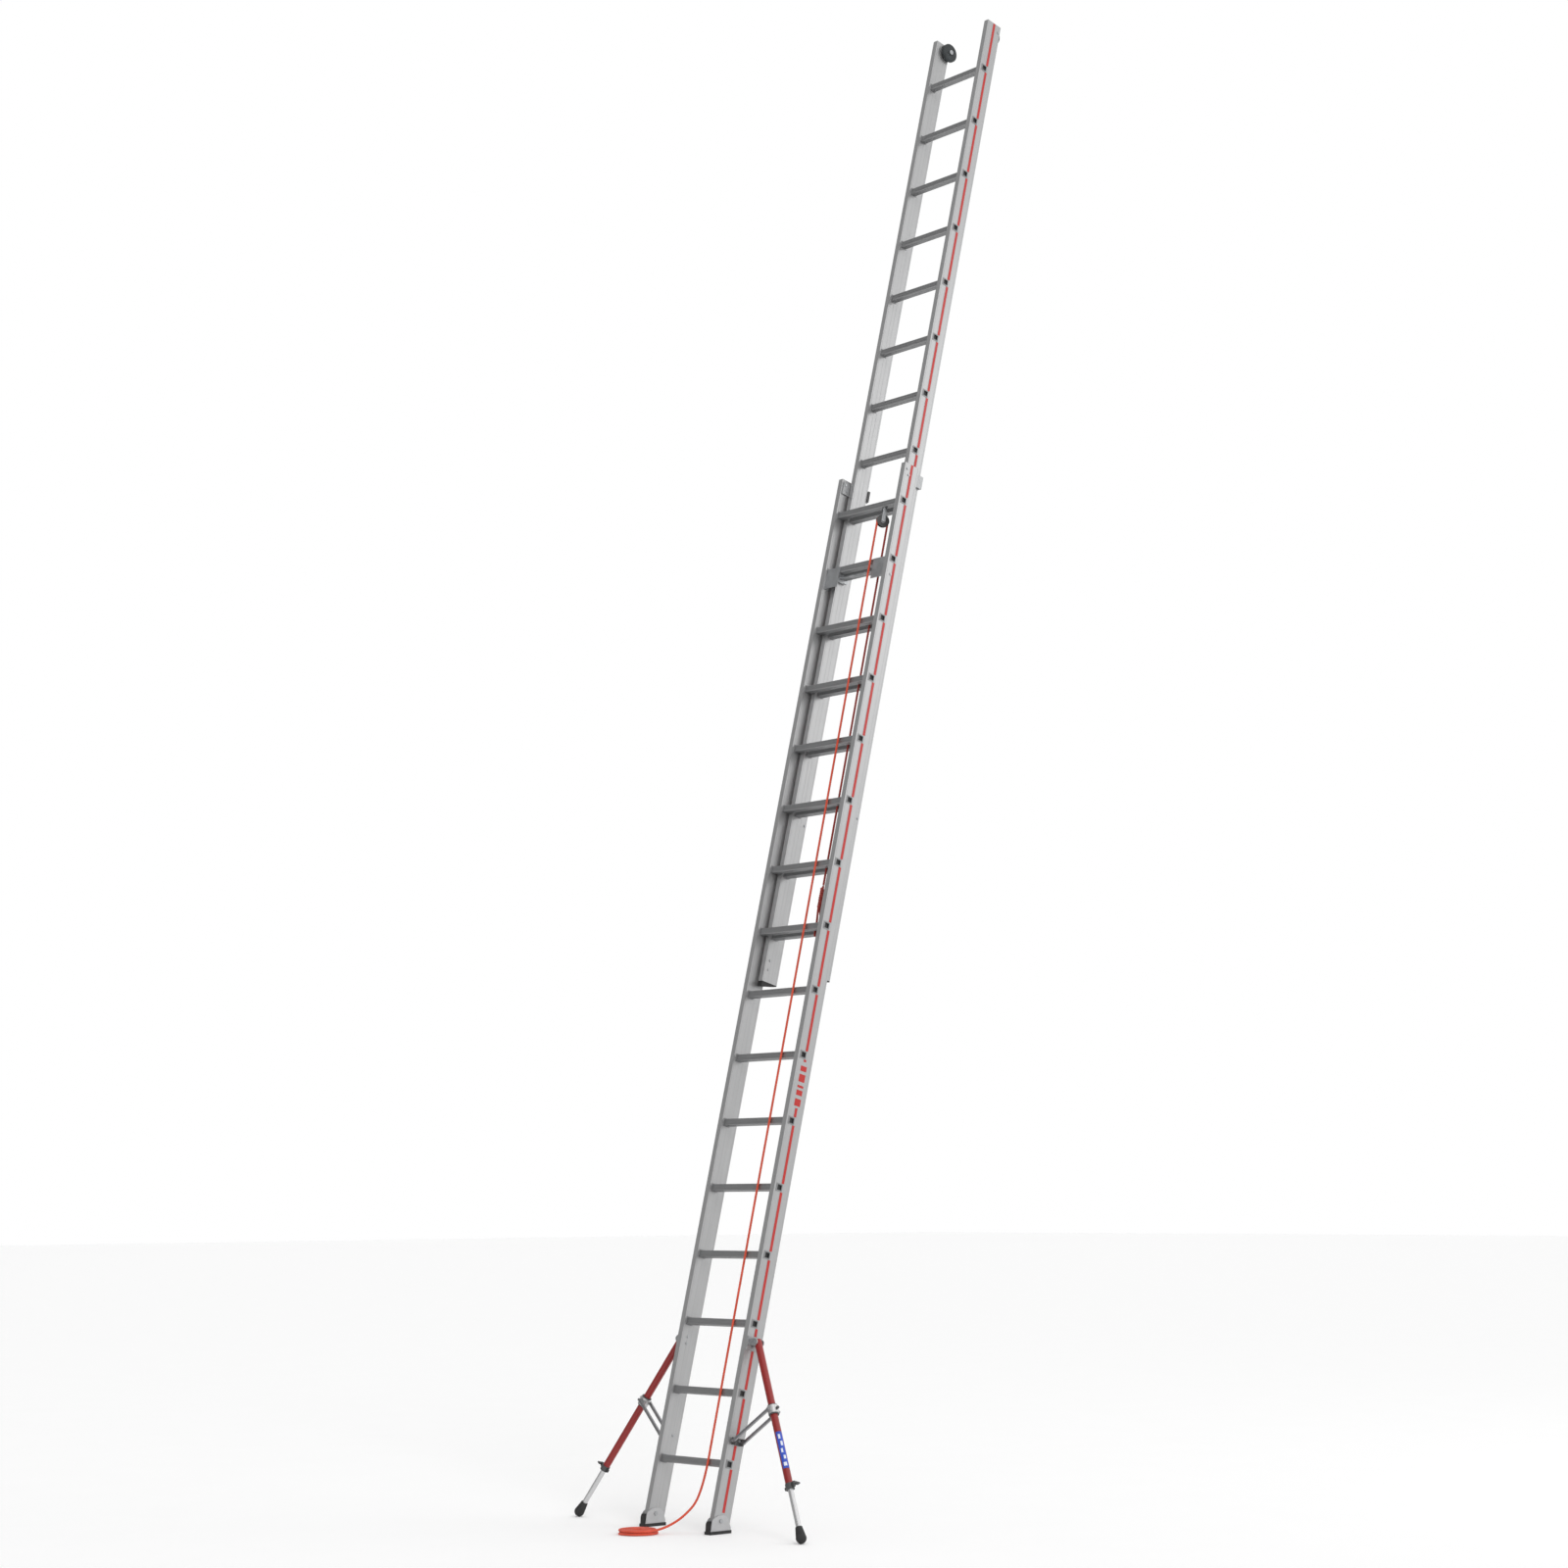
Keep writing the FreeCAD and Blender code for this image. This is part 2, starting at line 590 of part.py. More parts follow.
def pulley():
    """Swivelled pulley under the top base rung."""
    up, reach = SHEAVE_UP, "sheave_wide / 2"
    bore = "(sheave_pin + bolt_play)"
    floor_radius = "(wrap_radius - rope_radius - 0.5)"
    groove = "(rope_radius + 0.6)"
    profile = [
        (bore, f"-{reach}"), ("sheave_radius", f"-{reach}"), ("sheave_radius", f"(-{reach} + 0.8)"),
        (floor_radius, f"(-{groove} + 1.2)"), (floor_radius, f"({groove} - 1.2)"),
        ("sheave_radius", f"({reach} - 0.8)"), ("sheave_radius", reach), (bore, reach),
    ]
    centre = V(size("sheave_side"), size("sheave_back"), number(up))
    yaw = FreeCAD.Rotation(V(0, 0, 1), -size("sheave_yaw"))
    swivel = LEAN * FreeCAD.Placement(centre, yaw)
    node("pulley_sheave", turned(profile), swivel * FreeCAD.Placement(V(0, 0, 0), TURN["x"]))
    # the bracket is drawn round the sheave's centre, axle along x
    cheek_x = f"({reach} + 1)"
    rise = "(sheave_drop - rung_side / 2)"
    pieces = []
    for low in (cheek_x, f"(-{cheek_x} - cheek_thick)"):
        pieces.append(box((low, "-9", "-4"), ("cheek_thick", "18", f"({rise} + 4)")))
        pieces.append(rod("x", (low, "0", "-4"), "9", "cheek_thick"))
    crown_low = f"({rise} - 3)"
    crown_wide = f"2 * ({cheek_x} + cheek_thick)"
    pieces.append(box((f"(-{cheek_x} - cheek_thick)", "-9", crown_low), (crown_wide, "18", "3")))
    pin_hole = rod("x", ("-20", "0", "0"), "sheave_pin", "40")
    node("pulley_bracket", cut(fuse(*pieces), pin_hole), swivel)
    span = f"2 * ({cheek_x} + cheek_thick)"
    axle = fuse(
        rod("x", (f"(-{span} / 2)", "0", "0"), "sheave_pin", span),
        rod("x", (f"(-{span} / 2 - 4)", "0", "0"), "(sheave_pin + 3)", "4"),
        rod("x", (f"({span} / 2)", "0", "0"), "(sheave_pin + 3)", "4"),
    )
    node("pulley_axle", axle, swivel)


def latch():
    """Spring-loaded hooks on a cross shaft under base rung 15, carrying a fly rung."""
    front = "(rung_setback - rung_side / 2 - latch_plate)"
    low, high = f"({LATCH_RUNG} - 82)", f"({LATCH_RUNG} + 12)"
    back = "(fly_setback - 2)"
    face_wide, deep = f"({INNER} - latch_plate - latch_reach)", f"({back} - {front})"
    face = box(("latch_reach", front, low), (face_wide, "latch_plate", f"({high} - {low})"))
    flange_top = f"({LATCH_RUNG} - bead_side / 2 - 1)"
    flange = box((f"({INNER} - latch_plate)", front, low), ("latch_plate", deep, f"({flange_top} - {low})"))
    lug_low = f"({SHAFT_UP} - 20)"
    lug = box(("latch_reach", front, lug_low), ("latch_plate", deep, f"({flange_top} - {lug_low})"))
    bearing_radius = "(shaft_radius + bolt_play)"
    bearing = rod("x", ("latch_reach / 2", "shaft_back", SHAFT_UP), bearing_radius, "base_width / 2")
    twins("latch_brackets", [cut(fuse(face, flange, lug), bearing, *drill(LATCH_BOLTS, "bolt_radius"))])
    reach = f"({INNER} - 1)"
    rings = ("(hook_inner + hook_wide)", "(-hook_inner - hook_wide - 2)")
    shaft = [rod("x", (f"-{reach}", "shaft_back", SHAFT_UP), "shaft_radius", f"2 * {reach}")]
    shaft += [rod("x", (low_x, "shaft_back", SHAFT_UP), "(shaft_radius + 2)", "2") for low_x in rings]
    node("latch_shaft", fuse(*shaft))
    seat = f"({LATCH_RUNG} - seat_drop - rung_side / 2 - hook_play)"
    nose = "(fly_setback + rung_setback + rung_side / 2 + 2)"
    hub = rod("x", ("hook_inner", "shaft_back", SHAFT_UP), "(shaft_radius + 5)", "hook_wide")
    outline_points = [
        ("shaft_back", f"({seat} - 14)"), (f"({nose} + 5)", f"({seat} - 14)"), (f"({nose} + 8)", f"({seat} - 8)"),
        (f"({nose} + 8)", f"({seat} + 13)"), (nose, f"({seat} + 13)"), (nose, seat), ("shaft_back", seat),
    ]
    arm = prism("YZ_Plane", [outline_points], "hook_wide", "hook_inner")
    eye = rod("x", ("(hook_inner - 1)", "shaft_back", SHAFT_UP), "shaft_radius", "(hook_wide + 2)")
    twins("latch_hooks", [cut(fuse(hub, arm), eye)])
    wire, radius = size("spring_wire"), size("shaft_radius") + size("spring_wire") / 2 + 1.2
    start = size("latch_reach") + size("latch_plate") + 2.5
    rings = []
    for step in range(int(size("spring_turns"))):
        centre = V(start + step * 0.95 * wire, size("shaft_back"), number(SHAFT_UP))
        rings.append(Part.makeTorus(radius, wire / 2, centre, V(1, 0, 0)))
    foot = V(start + 0.2 * wire, size("shaft_back"), number(SHAFT_UP) + radius)
    leg_long = size("shaft_back") - number(front) - size("latch_plate")
    leg = Part.makeCylinder(wire / 2, leg_long, foot, V(0, -1, 0))
    coil = rings[0].multiFuse(rings[1:] + [leg])
    group("latch_springs", both_sides([coil]))
    return [cross_bolt(y, z, f"({INNER} - latch_plate)", OUTER) for y, z in LATCH_BOLTS]


def leg_placement():
    """Leg frame: pivot at the origin, leg running down -z, front to back along y."""
    pivot = V(number(LEG_OUT), number(MID_DEPTH), size("leg_pivot_up"))
    spread = FreeCAD.Placement(pivot, FreeCAD.Rotation(V(0, 1, 0), -size("leg_angle")))
    return LEAN * spread


def leg_brackets():
    """Clevis brackets on the outer stile faces, with their pivot bolts."""
    ear_in = "(leg_radius + ear_gap)"
    front, back = f"({MID_DEPTH} - {ear_in} - ear_thick)", f"({MID_DEPTH} + {ear_in})"
    plate = box((OUTER, "3", "(leg_pivot_up - 34)"), ("4", f"({back} + ear_thick - 3)", "54"))
    pieces = [plate]
    for y in (front, back):
        pieces.append(box((OUTER, y, "(leg_pivot_up - 14)"), ("leg_pivot_out", "ear_thick", "28")))
        pieces.append(rod("y", (LEG_OUT, y, "leg_pivot_up"), "14", "ear_thick"))
    hole = rod("y", (LEG_OUT, "0", "leg_pivot_up"), "leg_pin", "stile_depth")
    rivet_places = [("10", "(leg_pivot_up + 4)"), ("10", "(leg_pivot_up - 16)")]
    twins("leg_brackets", [cut(fuse(*pieces), hole, *drill(LEG_BOLTS, "bolt_radius"))])
    pin = fuse(
        rod("y", (LEG_OUT, front, "leg_pivot_up"), "leg_pin", f"({back} + ear_thick - {front})"),
        rod("y", (LEG_OUT, f"({front} - 5)", "leg_pivot_up"), "(leg_pin + 3.5)", "5"),
        rod("y", (LEG_OUT, f"({back} + ear_thick)", "leg_pivot_up"), "(leg_pin + 3.5)", "5"),
    )
    twins("leg_pivot_bolts", [pin])
    bolts = [cross_bolt(y, z, INNER, f"({OUTER} + 4)") for y, z in LEG_BOLTS]
    bolts += [rod("x", (f"({OUTER} + 4)", y, z), "4", "2") for y, z in rivet_places]
    return bolts


def legs():
    """Telescopic legs in their own frame."""
    place = leg_placement()
    tube = cut(
        rod("z", ("0", "0", "-leg_length"), "leg_radius", "(leg_length + leg_top)"),
        rod("z", ("0", "0", "(-leg_length - 1)"), "(leg_radius - leg_wall)", "(leg_length + leg_top + 2)"),
        rod("y", ("0", "(-leg_radius - 1)", "0"), "(leg_pin + bolt_play)", "(2 * leg_radius + 2)"),
    )
    pair("leg_tube", tube, place)
    clamp_low = "(-leg_length - 12)"
    clamp = cut(
        fuse(
            rod("z", ("0", "0", clamp_low), "(leg_radius + 2.5)", "22"),
            box(("0", "-7", f"({clamp_low} + 3)"), ("(leg_radius + 9)", "14", "16")),
            box(("(-leg_radius - 9)", "-6", f"({clamp_low} + 4)"), ("14", "12", "12")),
        ),
        rod("z", ("0", "0", "-leg_length"), "leg_radius", "60"),
        rod("z", ("0", "0", f"({clamp_low} - 1)"), "(slim_radius + 0.4)", "60"),
        rod("x", ("(leg_radius + 1)", "0", f"({clamp_low} + 11)"), "4.4", "30"),
    )
    pair("leg_clamp", clamp, place)
    knob_up = f"({clamp_low} + 11)"
    knob = fuse(
        rod("x", ("(leg_radius + 2)", "0", knob_up), "4", "14"),
        rod("x", ("(leg_radius + 9.4)", "0", knob_up), "8", "9"),
        box(("(leg_radius + 12)", "-17", f"({knob_up} - 3)"), ("14", "34", "6")),
    )
    pair("leg_knob", knob, place)
    slim_low = "(-leg_length - slim_shown)"
    slim = cut(
        rod("z", ("0", "0", slim_low), "slim_radius", "(slim_hidden + slim_shown)"),
        rod("z", ("0", "0", f"({slim_low} - 1)"), "(slim_radius - slim_wall)", "(slim_hidden + slim_shown + 2)"),
    )
    pair("leg_inner_tube", slim, place)
    socket = rod("z", ("0", "0", slim_low), "slim_radius", "100")
    pair("leg_foot", cut(leg_foot_blank(), socket), place)


def leg_foot_blank():
    """Flared rubber ferrule with a rounded tip."""
    neck_top = "(-leg_length - slim_shown + 26)"
    neck = doc.addObject("Part::Cone", "ferrule")
    bind(neck, "Radius1", "foot_radius")
    bind(neck, "Radius2", "(slim_radius + 3)")
    bind(neck, "Height", f"({neck_top} + foot_reach)")
    put(neck, ("0", "0", "-foot_reach"))
    tip = doc.addObject("Part::Sphere", "tip")
    bind(tip, "Radius", "foot_radius")
    put(tip, ("0", "0", "-foot_reach"))
    return fuse(neck, tip)


def collars():
    """Sliding collar, its plastic bush and its spring pin, on the outer leg tube."""
    place = leg_placement()
    low = "(-collar_at - collar_tall / 2)"
    bush_in = "(leg_radius + 0.4)"
    bush_out = "(leg_radius + 0.4 + bush_wall)"
    ring = fuse(
        rod("z", ("0", "0", low), "collar_radius", "collar_tall"),
        rod("y", ("0", "(-strut_inner + 0.3)", "-collar_at"), "8", "2 * (strut_inner - 0.3)"),
    )
    bore = rod("z", ("0", "0", f"({low} - 1)"), bush_out, "(collar_tall + 2)")
    pin_way = rod("x", ("leg_radius", "0", "-collar_at"), "3.5", "20")
    pair("collar", cut(ring, bore, pin_way), place)
    rims = fuse(
        rod("z", ("0", "0", f"({low} - 4)"), bush_out, "(collar_tall + 8)"),
        rod("z", ("0", "0", f"({low} - 4)"), "(collar_radius - 1.5)", "4"),
        rod("z", ("0", "0", f"({low} + collar_tall)"), "(collar_radius - 1.5)", "4"),
    )
    hole = rod("z", ("0", "0", f"({low} - 5)"), bush_in, "(collar_tall + 10)")
    pair("collar_bush", cut(rims, hole), place)
    pin = fuse(
        rod("x", (bush_out, "0", "-collar_at"), "3.5", "(collar_radius - leg_radius + 6)"),
        rod("x", ("(collar_radius + 2)", "0", "-collar_at"), "6", "7"),
    )
    pair("collar_pin", pin, place)


def struts():
    """Strut blocks on the stiles and the pairs of bars up to the collars."""
    x_pivot = "(base_width / 2 + strut_out)"
    ear_in = "(strut_inner - 0.3 - 6.5)"
    front, back = f"({MID_DEPTH} - {ear_in} - 6.5)", f"({MID_DEPTH} + {ear_in})"
    low = "(strut_up - block_tall / 2)"
    pieces = [box((OUTER, front, low), ("block_plate", f"({back} + 6.5 - {front})", "block_tall"))]
    for y in (front, back):
        pieces.append(box((OUTER, y, low), ("(strut_out + 9)", "6.5", "block_tall")))
    pin_hole = rod("y", (x_pivot, "-1", "strut_up"), "(4 + bolt_play)", "(stile_depth + 2)")
    twins("strut_blocks", [cut(fuse(*pieces), pin_hole, *drill(BLOCK_BOLTS, "bolt_radius"))])
    leg = math.radians(size("leg_angle"))
    along = V(math.sin(leg), 0, -math.cos(leg))
    top = V(number(LEG_OUT), 0, size("leg_pivot_up")) + along * size("collar_at")
    foot = V(number(x_pivot), 0, size("strut_up"))
    lean = math.degrees(math.atan2(top.x - foot.x, top.z - foot.z))
    strut_turn = FreeCAD.Rotation(V(0, 1, 0), lean)
    place = LEAN * FreeCAD.Placement(V(foot.x, number(MID_DEPTH), foot.z), strut_turn)
    long, wide, thick = (top - foot).Length, size("strut_wide"), size("strut_thick")
    inner, ends = size("strut_inner"), (0, long)
    across = V(0, 1, 0)
    solids = [Part.makeBox(wide, thick, long, V(-wide / 2, inner, 0))]
    solids += [Part.makeCylinder(wide / 2, thick, V(0, inner, z), across) for z in ends]
    solids += [Part.makeCylinder(5.5, 3, V(0, inner + thick, z), across) for z in ends]
    solids += [Part.makeCylinder(4, 6, V(0, inner - 6, 0), across)]
    channel = Part.makeBox(wide / 3, 1.6, long - 2 * wide, V(-wide / 6, inner + thick - 1.6, wide))
    bar = solids[0].multiFuse(solids[1:]).cut(channel)
    right = group("struts_right", [bar, bar.mirror(V(0, 0, 0), across)], place)
    mirrored("struts_left", right)
    return [cross_bolt(y, z, INNER, f"({OUTER} + block_plate)") for y, z in BLOCK_BOLTS]


def shoes():
    """Articulated shoes: pressed shell, rubber sole turned up at the front, pivot bolt."""
    back, up = number("shoe_bolt_back"), number("shoe_bolt_up")
    pivot = LEAN.multVec(V(0, back, up))
    level = FreeCAD.Placement(pivot, FreeCAD.Rotation())
    drop = "(shoe_bolt_up * cos(lean_angle) - shoe_bolt_back * sin(lean_angle))"
    plate_low = f"(sole_thick - {drop})"
    profile = [
        ("-54", plate_low), ("50", plate_low), ("50", f"({plate_low} + 10)"), ("44", f"({plate_low} + 26)"),
        ("38", f"({plate_low} + 44)"), ("26", f"({plate_low} + 55)"), ("14", f"({plate_low} + 60)"),
        ("-14", f"({plate_low} + 60)"), ("-26", f"({plate_low} + 55)"), ("-40", f"({plate_low} + 48)"),
        ("-47", f"({plate_low} + 38)"),
    ]
    outer_x = f"({OUTER} + shoe_gap)"
    inner_x = f"({INNER} - shoe_gap - shoe_plate)"
    shell_wide = f"({outer_x} - {inner_x} + shoe_plate)"
    plates = [prism("YZ_Plane", [profile], "shoe_plate", x) for x in (outer_x, inner_x)]
    web = box((inner_x, "-54", plate_low), (shell_wide, "104", "shoe_plate"))
    shell = fuse(*plates, web)
    hole = rod("x", (f"({inner_x} - 1)", "0", "0"), "(shoe_bolt_radius + bolt_play)", f"({shell_wide} + 2)")
    pair("shoe_shell", cut(shell, hole), level)
    ground = f"(-{drop})"
    sole = [("-58", ground), ("51", ground), ("51", plate_low), ("-58", plate_low)]
    nose = [
        ("-58", f"({plate_low} - 1)"), ("-46", f"({plate_low} - 1)"), ("-43", f"({plate_low} + 34)"),
        ("-46", f"({plate_low} + 38)"), ("-51", f"({plate_low} + 38)"), ("-56", f"({plate_low} + 28)"),
    ]
    strip = prism("YZ_Plane", [sole], f"({shell_wide} + 2 * sole_side)", f"({inner_x} - sole_side)")
    filling = prism("YZ_Plane", [nose], f"({shell_wide} - 2 * shoe_plate)", f"({inner_x} + shoe_plate)")
    pair("shoe_sole", cut(fuse(strip, filling), shell), level)
    bolt = cross_bolt(
        "shoe_bolt_back", "shoe_bolt_up", inner_x, f"({outer_x} + shoe_plate)",
        radius="shoe_bolt_radius", head="(shoe_bolt_radius + 3.5)",
    )
    twins("shoe_bolts", [bolt])


# Front run of the rope, in the row frame: past the lowest rung, along the floor, into the coil.
ROPE_TAIL = [
    (100, 50, 170), (93, 24, 112), (86, -12, 78), (79, -50, 52),
    (73, -92, 33), (67, -137, 20), (62, -186, 15.5),
]


def rounded_route(points, radius=None):
    """Straight runs joined by tangent arcs."""
    edges, last = [], points[0]
    for before, corner, after in zip(points, points[1:], points[2:]):
        back, ahead = before - corner, after - corner
        half_turn = (math.pi - back.getAngle(ahead)) / 2
        if radius is None:
            reach = 0.45 * min(back.Length, ahead.Length)
            bend = reach / math.tan(half_turn)
            print(f"rope bend radius {bend:.0f} mm")
        else:
            bend, reach = radius, radius * math.tan(half_turn)
        back.normalize()
        ahead.normalize()
        towards = (back + ahead).normalize()
        enter, leave = corner + back * reach, corner + ahead * reach
        middle = corner + towards * (bend / math.cos(half_turn) - bend)
        edges.append(Part.LineSegment(last, enter).toShape())
        edges.append(Part.Arc(enter, middle, leave).toShape())
        last = leave
    edges.append(Part.LineSegment(last, points[-1]).toShape())
    return Part.Wire(edges)


def tube(route):
    """Round rope along a route, its volume checked against section times length."""
    first = route.OrderedEdges[0]
    start = first.valueAt(first.FirstParameter)
    ring = Part.Wire(Part.makeCircle(size("rope_radius"), start, first.tangentAt(first.FirstParameter)))
    solid = route.makePipeShell([ring], True, False)
    expected = math.pi * size("rope_radius") ** 2 * route.Length
    if abs(solid.Volume / expected - 1) > 0.01:
        raise RuntimeError("rope volume does not match its length")
    return solid


def rope():
    """Hauling rope: over the sheave, down the front to a coil, down the back to the fly's lowest rung."""
    centre = V(size("sheave_side"), size("sheave_back"), number(SHEAVE_UP))
    yaw = math.radians(size("sheave_yaw"))
    arm = V(math.sin(yaw), math.cos(yaw), 0) * size("wrap_radius")
    step = V(0, 0, 0.05)
    swivel = LEAN * FreeCAD.Placement(centre, FreeCAD.Rotation(V(0, 0, 1), -size("sheave_yaw")))
    bend = Part.makeTorus(size("wrap_radius"), size("rope_radius"), V(0, 0, 0), V(0, 0, 1), 0, 360, 180)
    bend.rotate(V(0, 0, 0), V(1, 1, 1), 120)
    group("rope_over_sheave", [bend], swivel)
    knot_low = V(size("knot_side"), size("knot_back"), number(f"({FLY_FIRST} + knot_above)"))
    knot_top = knot_low + V(0, 0, size("knot_long"))
    rear = Part.Wire(Part.LineSegment(centre + arm - step, knot_top + V(0, 0, 0.3)).toShape())
    group("rope_rear", [tube(rear)])
    front_top = LEAN.multVec(centre - arm - step)
    corner = LEAN.multVec(V(107.5, 8.2, size("rung_pitch") - 18))
    front = rounded_route([front_top, corner] + [V(*point) for point in ROPE_TAIL])
    print(f"front rope length {front.Length:.0f} mm")
    group("rope_front", [tube(front)], UPRIGHT)
    tall, round_off = "coil_tall", "(coil_radius - 4)"
    profile = [
        ("0", "0.2"), (round_off, "0.2"), ("(coil_radius - 1)", "1.4"), ("coil_radius", "4.2"),
        ("coil_radius", f"({tall} - 4)"), ("(coil_radius - 1)", f"({tall} - 1.2)"),
        (round_off, tall), ("0", tall),
    ]
    coil_at = V(size("coil_side"), size("coil_front"), 0)
    node("rope_coil", turned(profile), FreeCAD.Placement(coil_at, FreeCAD.Rotation()))
    # the knot's loop passes round the lowest fly rung
    rung_y, rung_z = number("(fly_setback + rung_setback)"), number(FLY_FIRST)
    offset = size("rung_side") / 2 + size("rope_radius") + 0.05
    side, inside = size("knot_side"), V(0, 0, 8)
    loop = rounded_route(
        [
            V(side, knot_low.y - 5.2, knot_low.z) + inside,
            V(side, rung_y - offset, rung_z - offset),
            V(side, rung_y + offset, rung_z - offset),
            V(side, rung_y + offset, rung_z + offset + 2),
            V(side, knot_low.y + 5.2, knot_low.z) + inside,
        ],
        radius=6,
    )
    turns = 13
    spacing = size("knot_long") / turns
    profile = [V(0, 0, 0)]
    for turn in range(turns):
        for share, reach in ((0, 9.4), (0.3, 10.9), (0.7, 10.9)):
            profile.append(V(reach, 0, (turn + share) * spacing))
    profile += [V(9.4, 0, size("knot_long")), V(0, 0, size("knot_long")), V(0, 0, 0)]
    wraps = Part.Face(Part.makePolygon(profile)).revolve(V(0, 0, 0), V(0, 0, 1), 360)
    wraps.translate(knot_low)
    above = Part.makeBox(200, 200, 100, V(0, 0, knot_low.z))
    group("rope_knot", [tube(loop).cut(above), wraps])


base_stiles()
fly_stiles()
rungs_and_plugs()
stripes()
fly_ends()
sliders()
wall_wheels()
pulley()
legs()
collars()
shoes()
rope()
twins("base_bolts", guides() + latch() + leg_brackets() + struts())
doc.recompute()

for item in doc.Objects:
    if "Invalid" in item.State or "Error" in item.State:
        raise RuntimeError(f"{item.Name} ({item.Label}) did not compute: {item.State}")
os.makedirs("parts", exist_ok=True)
for piece in nodes:
    if piece.Shape.isNull() or not piece.Shape.isValid() or not piece.Shape.Solids:
        raise RuntimeError(f"{piece.Label} has no valid solid")
    piece.Shape.exportStep(f"parts/{piece.Label}.step")
    room = piece.Shape.BoundBox
    print(
        f"{piece.Label}: {len(piece.Shape.Solids)} solids, {piece.Shape.Volume / 1000:.1f} cm3, "
        f"x {room.XMin:.1f} {room.XMax:.1f}, y {room.YMin:.1f} {room.YMax:.1f}, z {room.ZMin:.1f} {room.ZMax:.1f}"
    )
print(f"{len(nodes)} sub-parts")
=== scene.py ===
import math

import bmesh
import bpy
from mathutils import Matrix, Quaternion, Vector

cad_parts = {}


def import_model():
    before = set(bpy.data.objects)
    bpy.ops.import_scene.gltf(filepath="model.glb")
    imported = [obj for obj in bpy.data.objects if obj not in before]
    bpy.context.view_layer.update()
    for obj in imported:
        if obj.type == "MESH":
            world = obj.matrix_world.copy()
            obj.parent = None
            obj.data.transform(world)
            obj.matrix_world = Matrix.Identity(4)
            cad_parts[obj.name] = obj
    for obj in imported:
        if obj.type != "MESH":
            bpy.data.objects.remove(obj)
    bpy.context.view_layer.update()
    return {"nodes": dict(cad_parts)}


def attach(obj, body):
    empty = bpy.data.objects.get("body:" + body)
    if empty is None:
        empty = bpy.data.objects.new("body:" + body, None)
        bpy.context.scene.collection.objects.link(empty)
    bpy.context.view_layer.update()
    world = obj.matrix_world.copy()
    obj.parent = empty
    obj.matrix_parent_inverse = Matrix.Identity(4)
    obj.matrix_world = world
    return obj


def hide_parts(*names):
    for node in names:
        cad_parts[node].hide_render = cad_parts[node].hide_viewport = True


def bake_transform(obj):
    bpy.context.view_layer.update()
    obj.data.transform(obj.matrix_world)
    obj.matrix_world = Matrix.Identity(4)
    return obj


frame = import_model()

LEAN = math.radians(14.1)
SIN, COS = math.sin(LEAN), math.cos(LEAN)
LEG = math.radians(31.3)
ROPE = 0.010


def world(x, d, u):
    """Ladder frame in millimetres (sideways, back from the front face, up the stile) to metres."""
    return Vector((x, d * COS + u * SIN, u * COS - d * SIN)) / 1000


# ---------------------------------------------------------------- materials

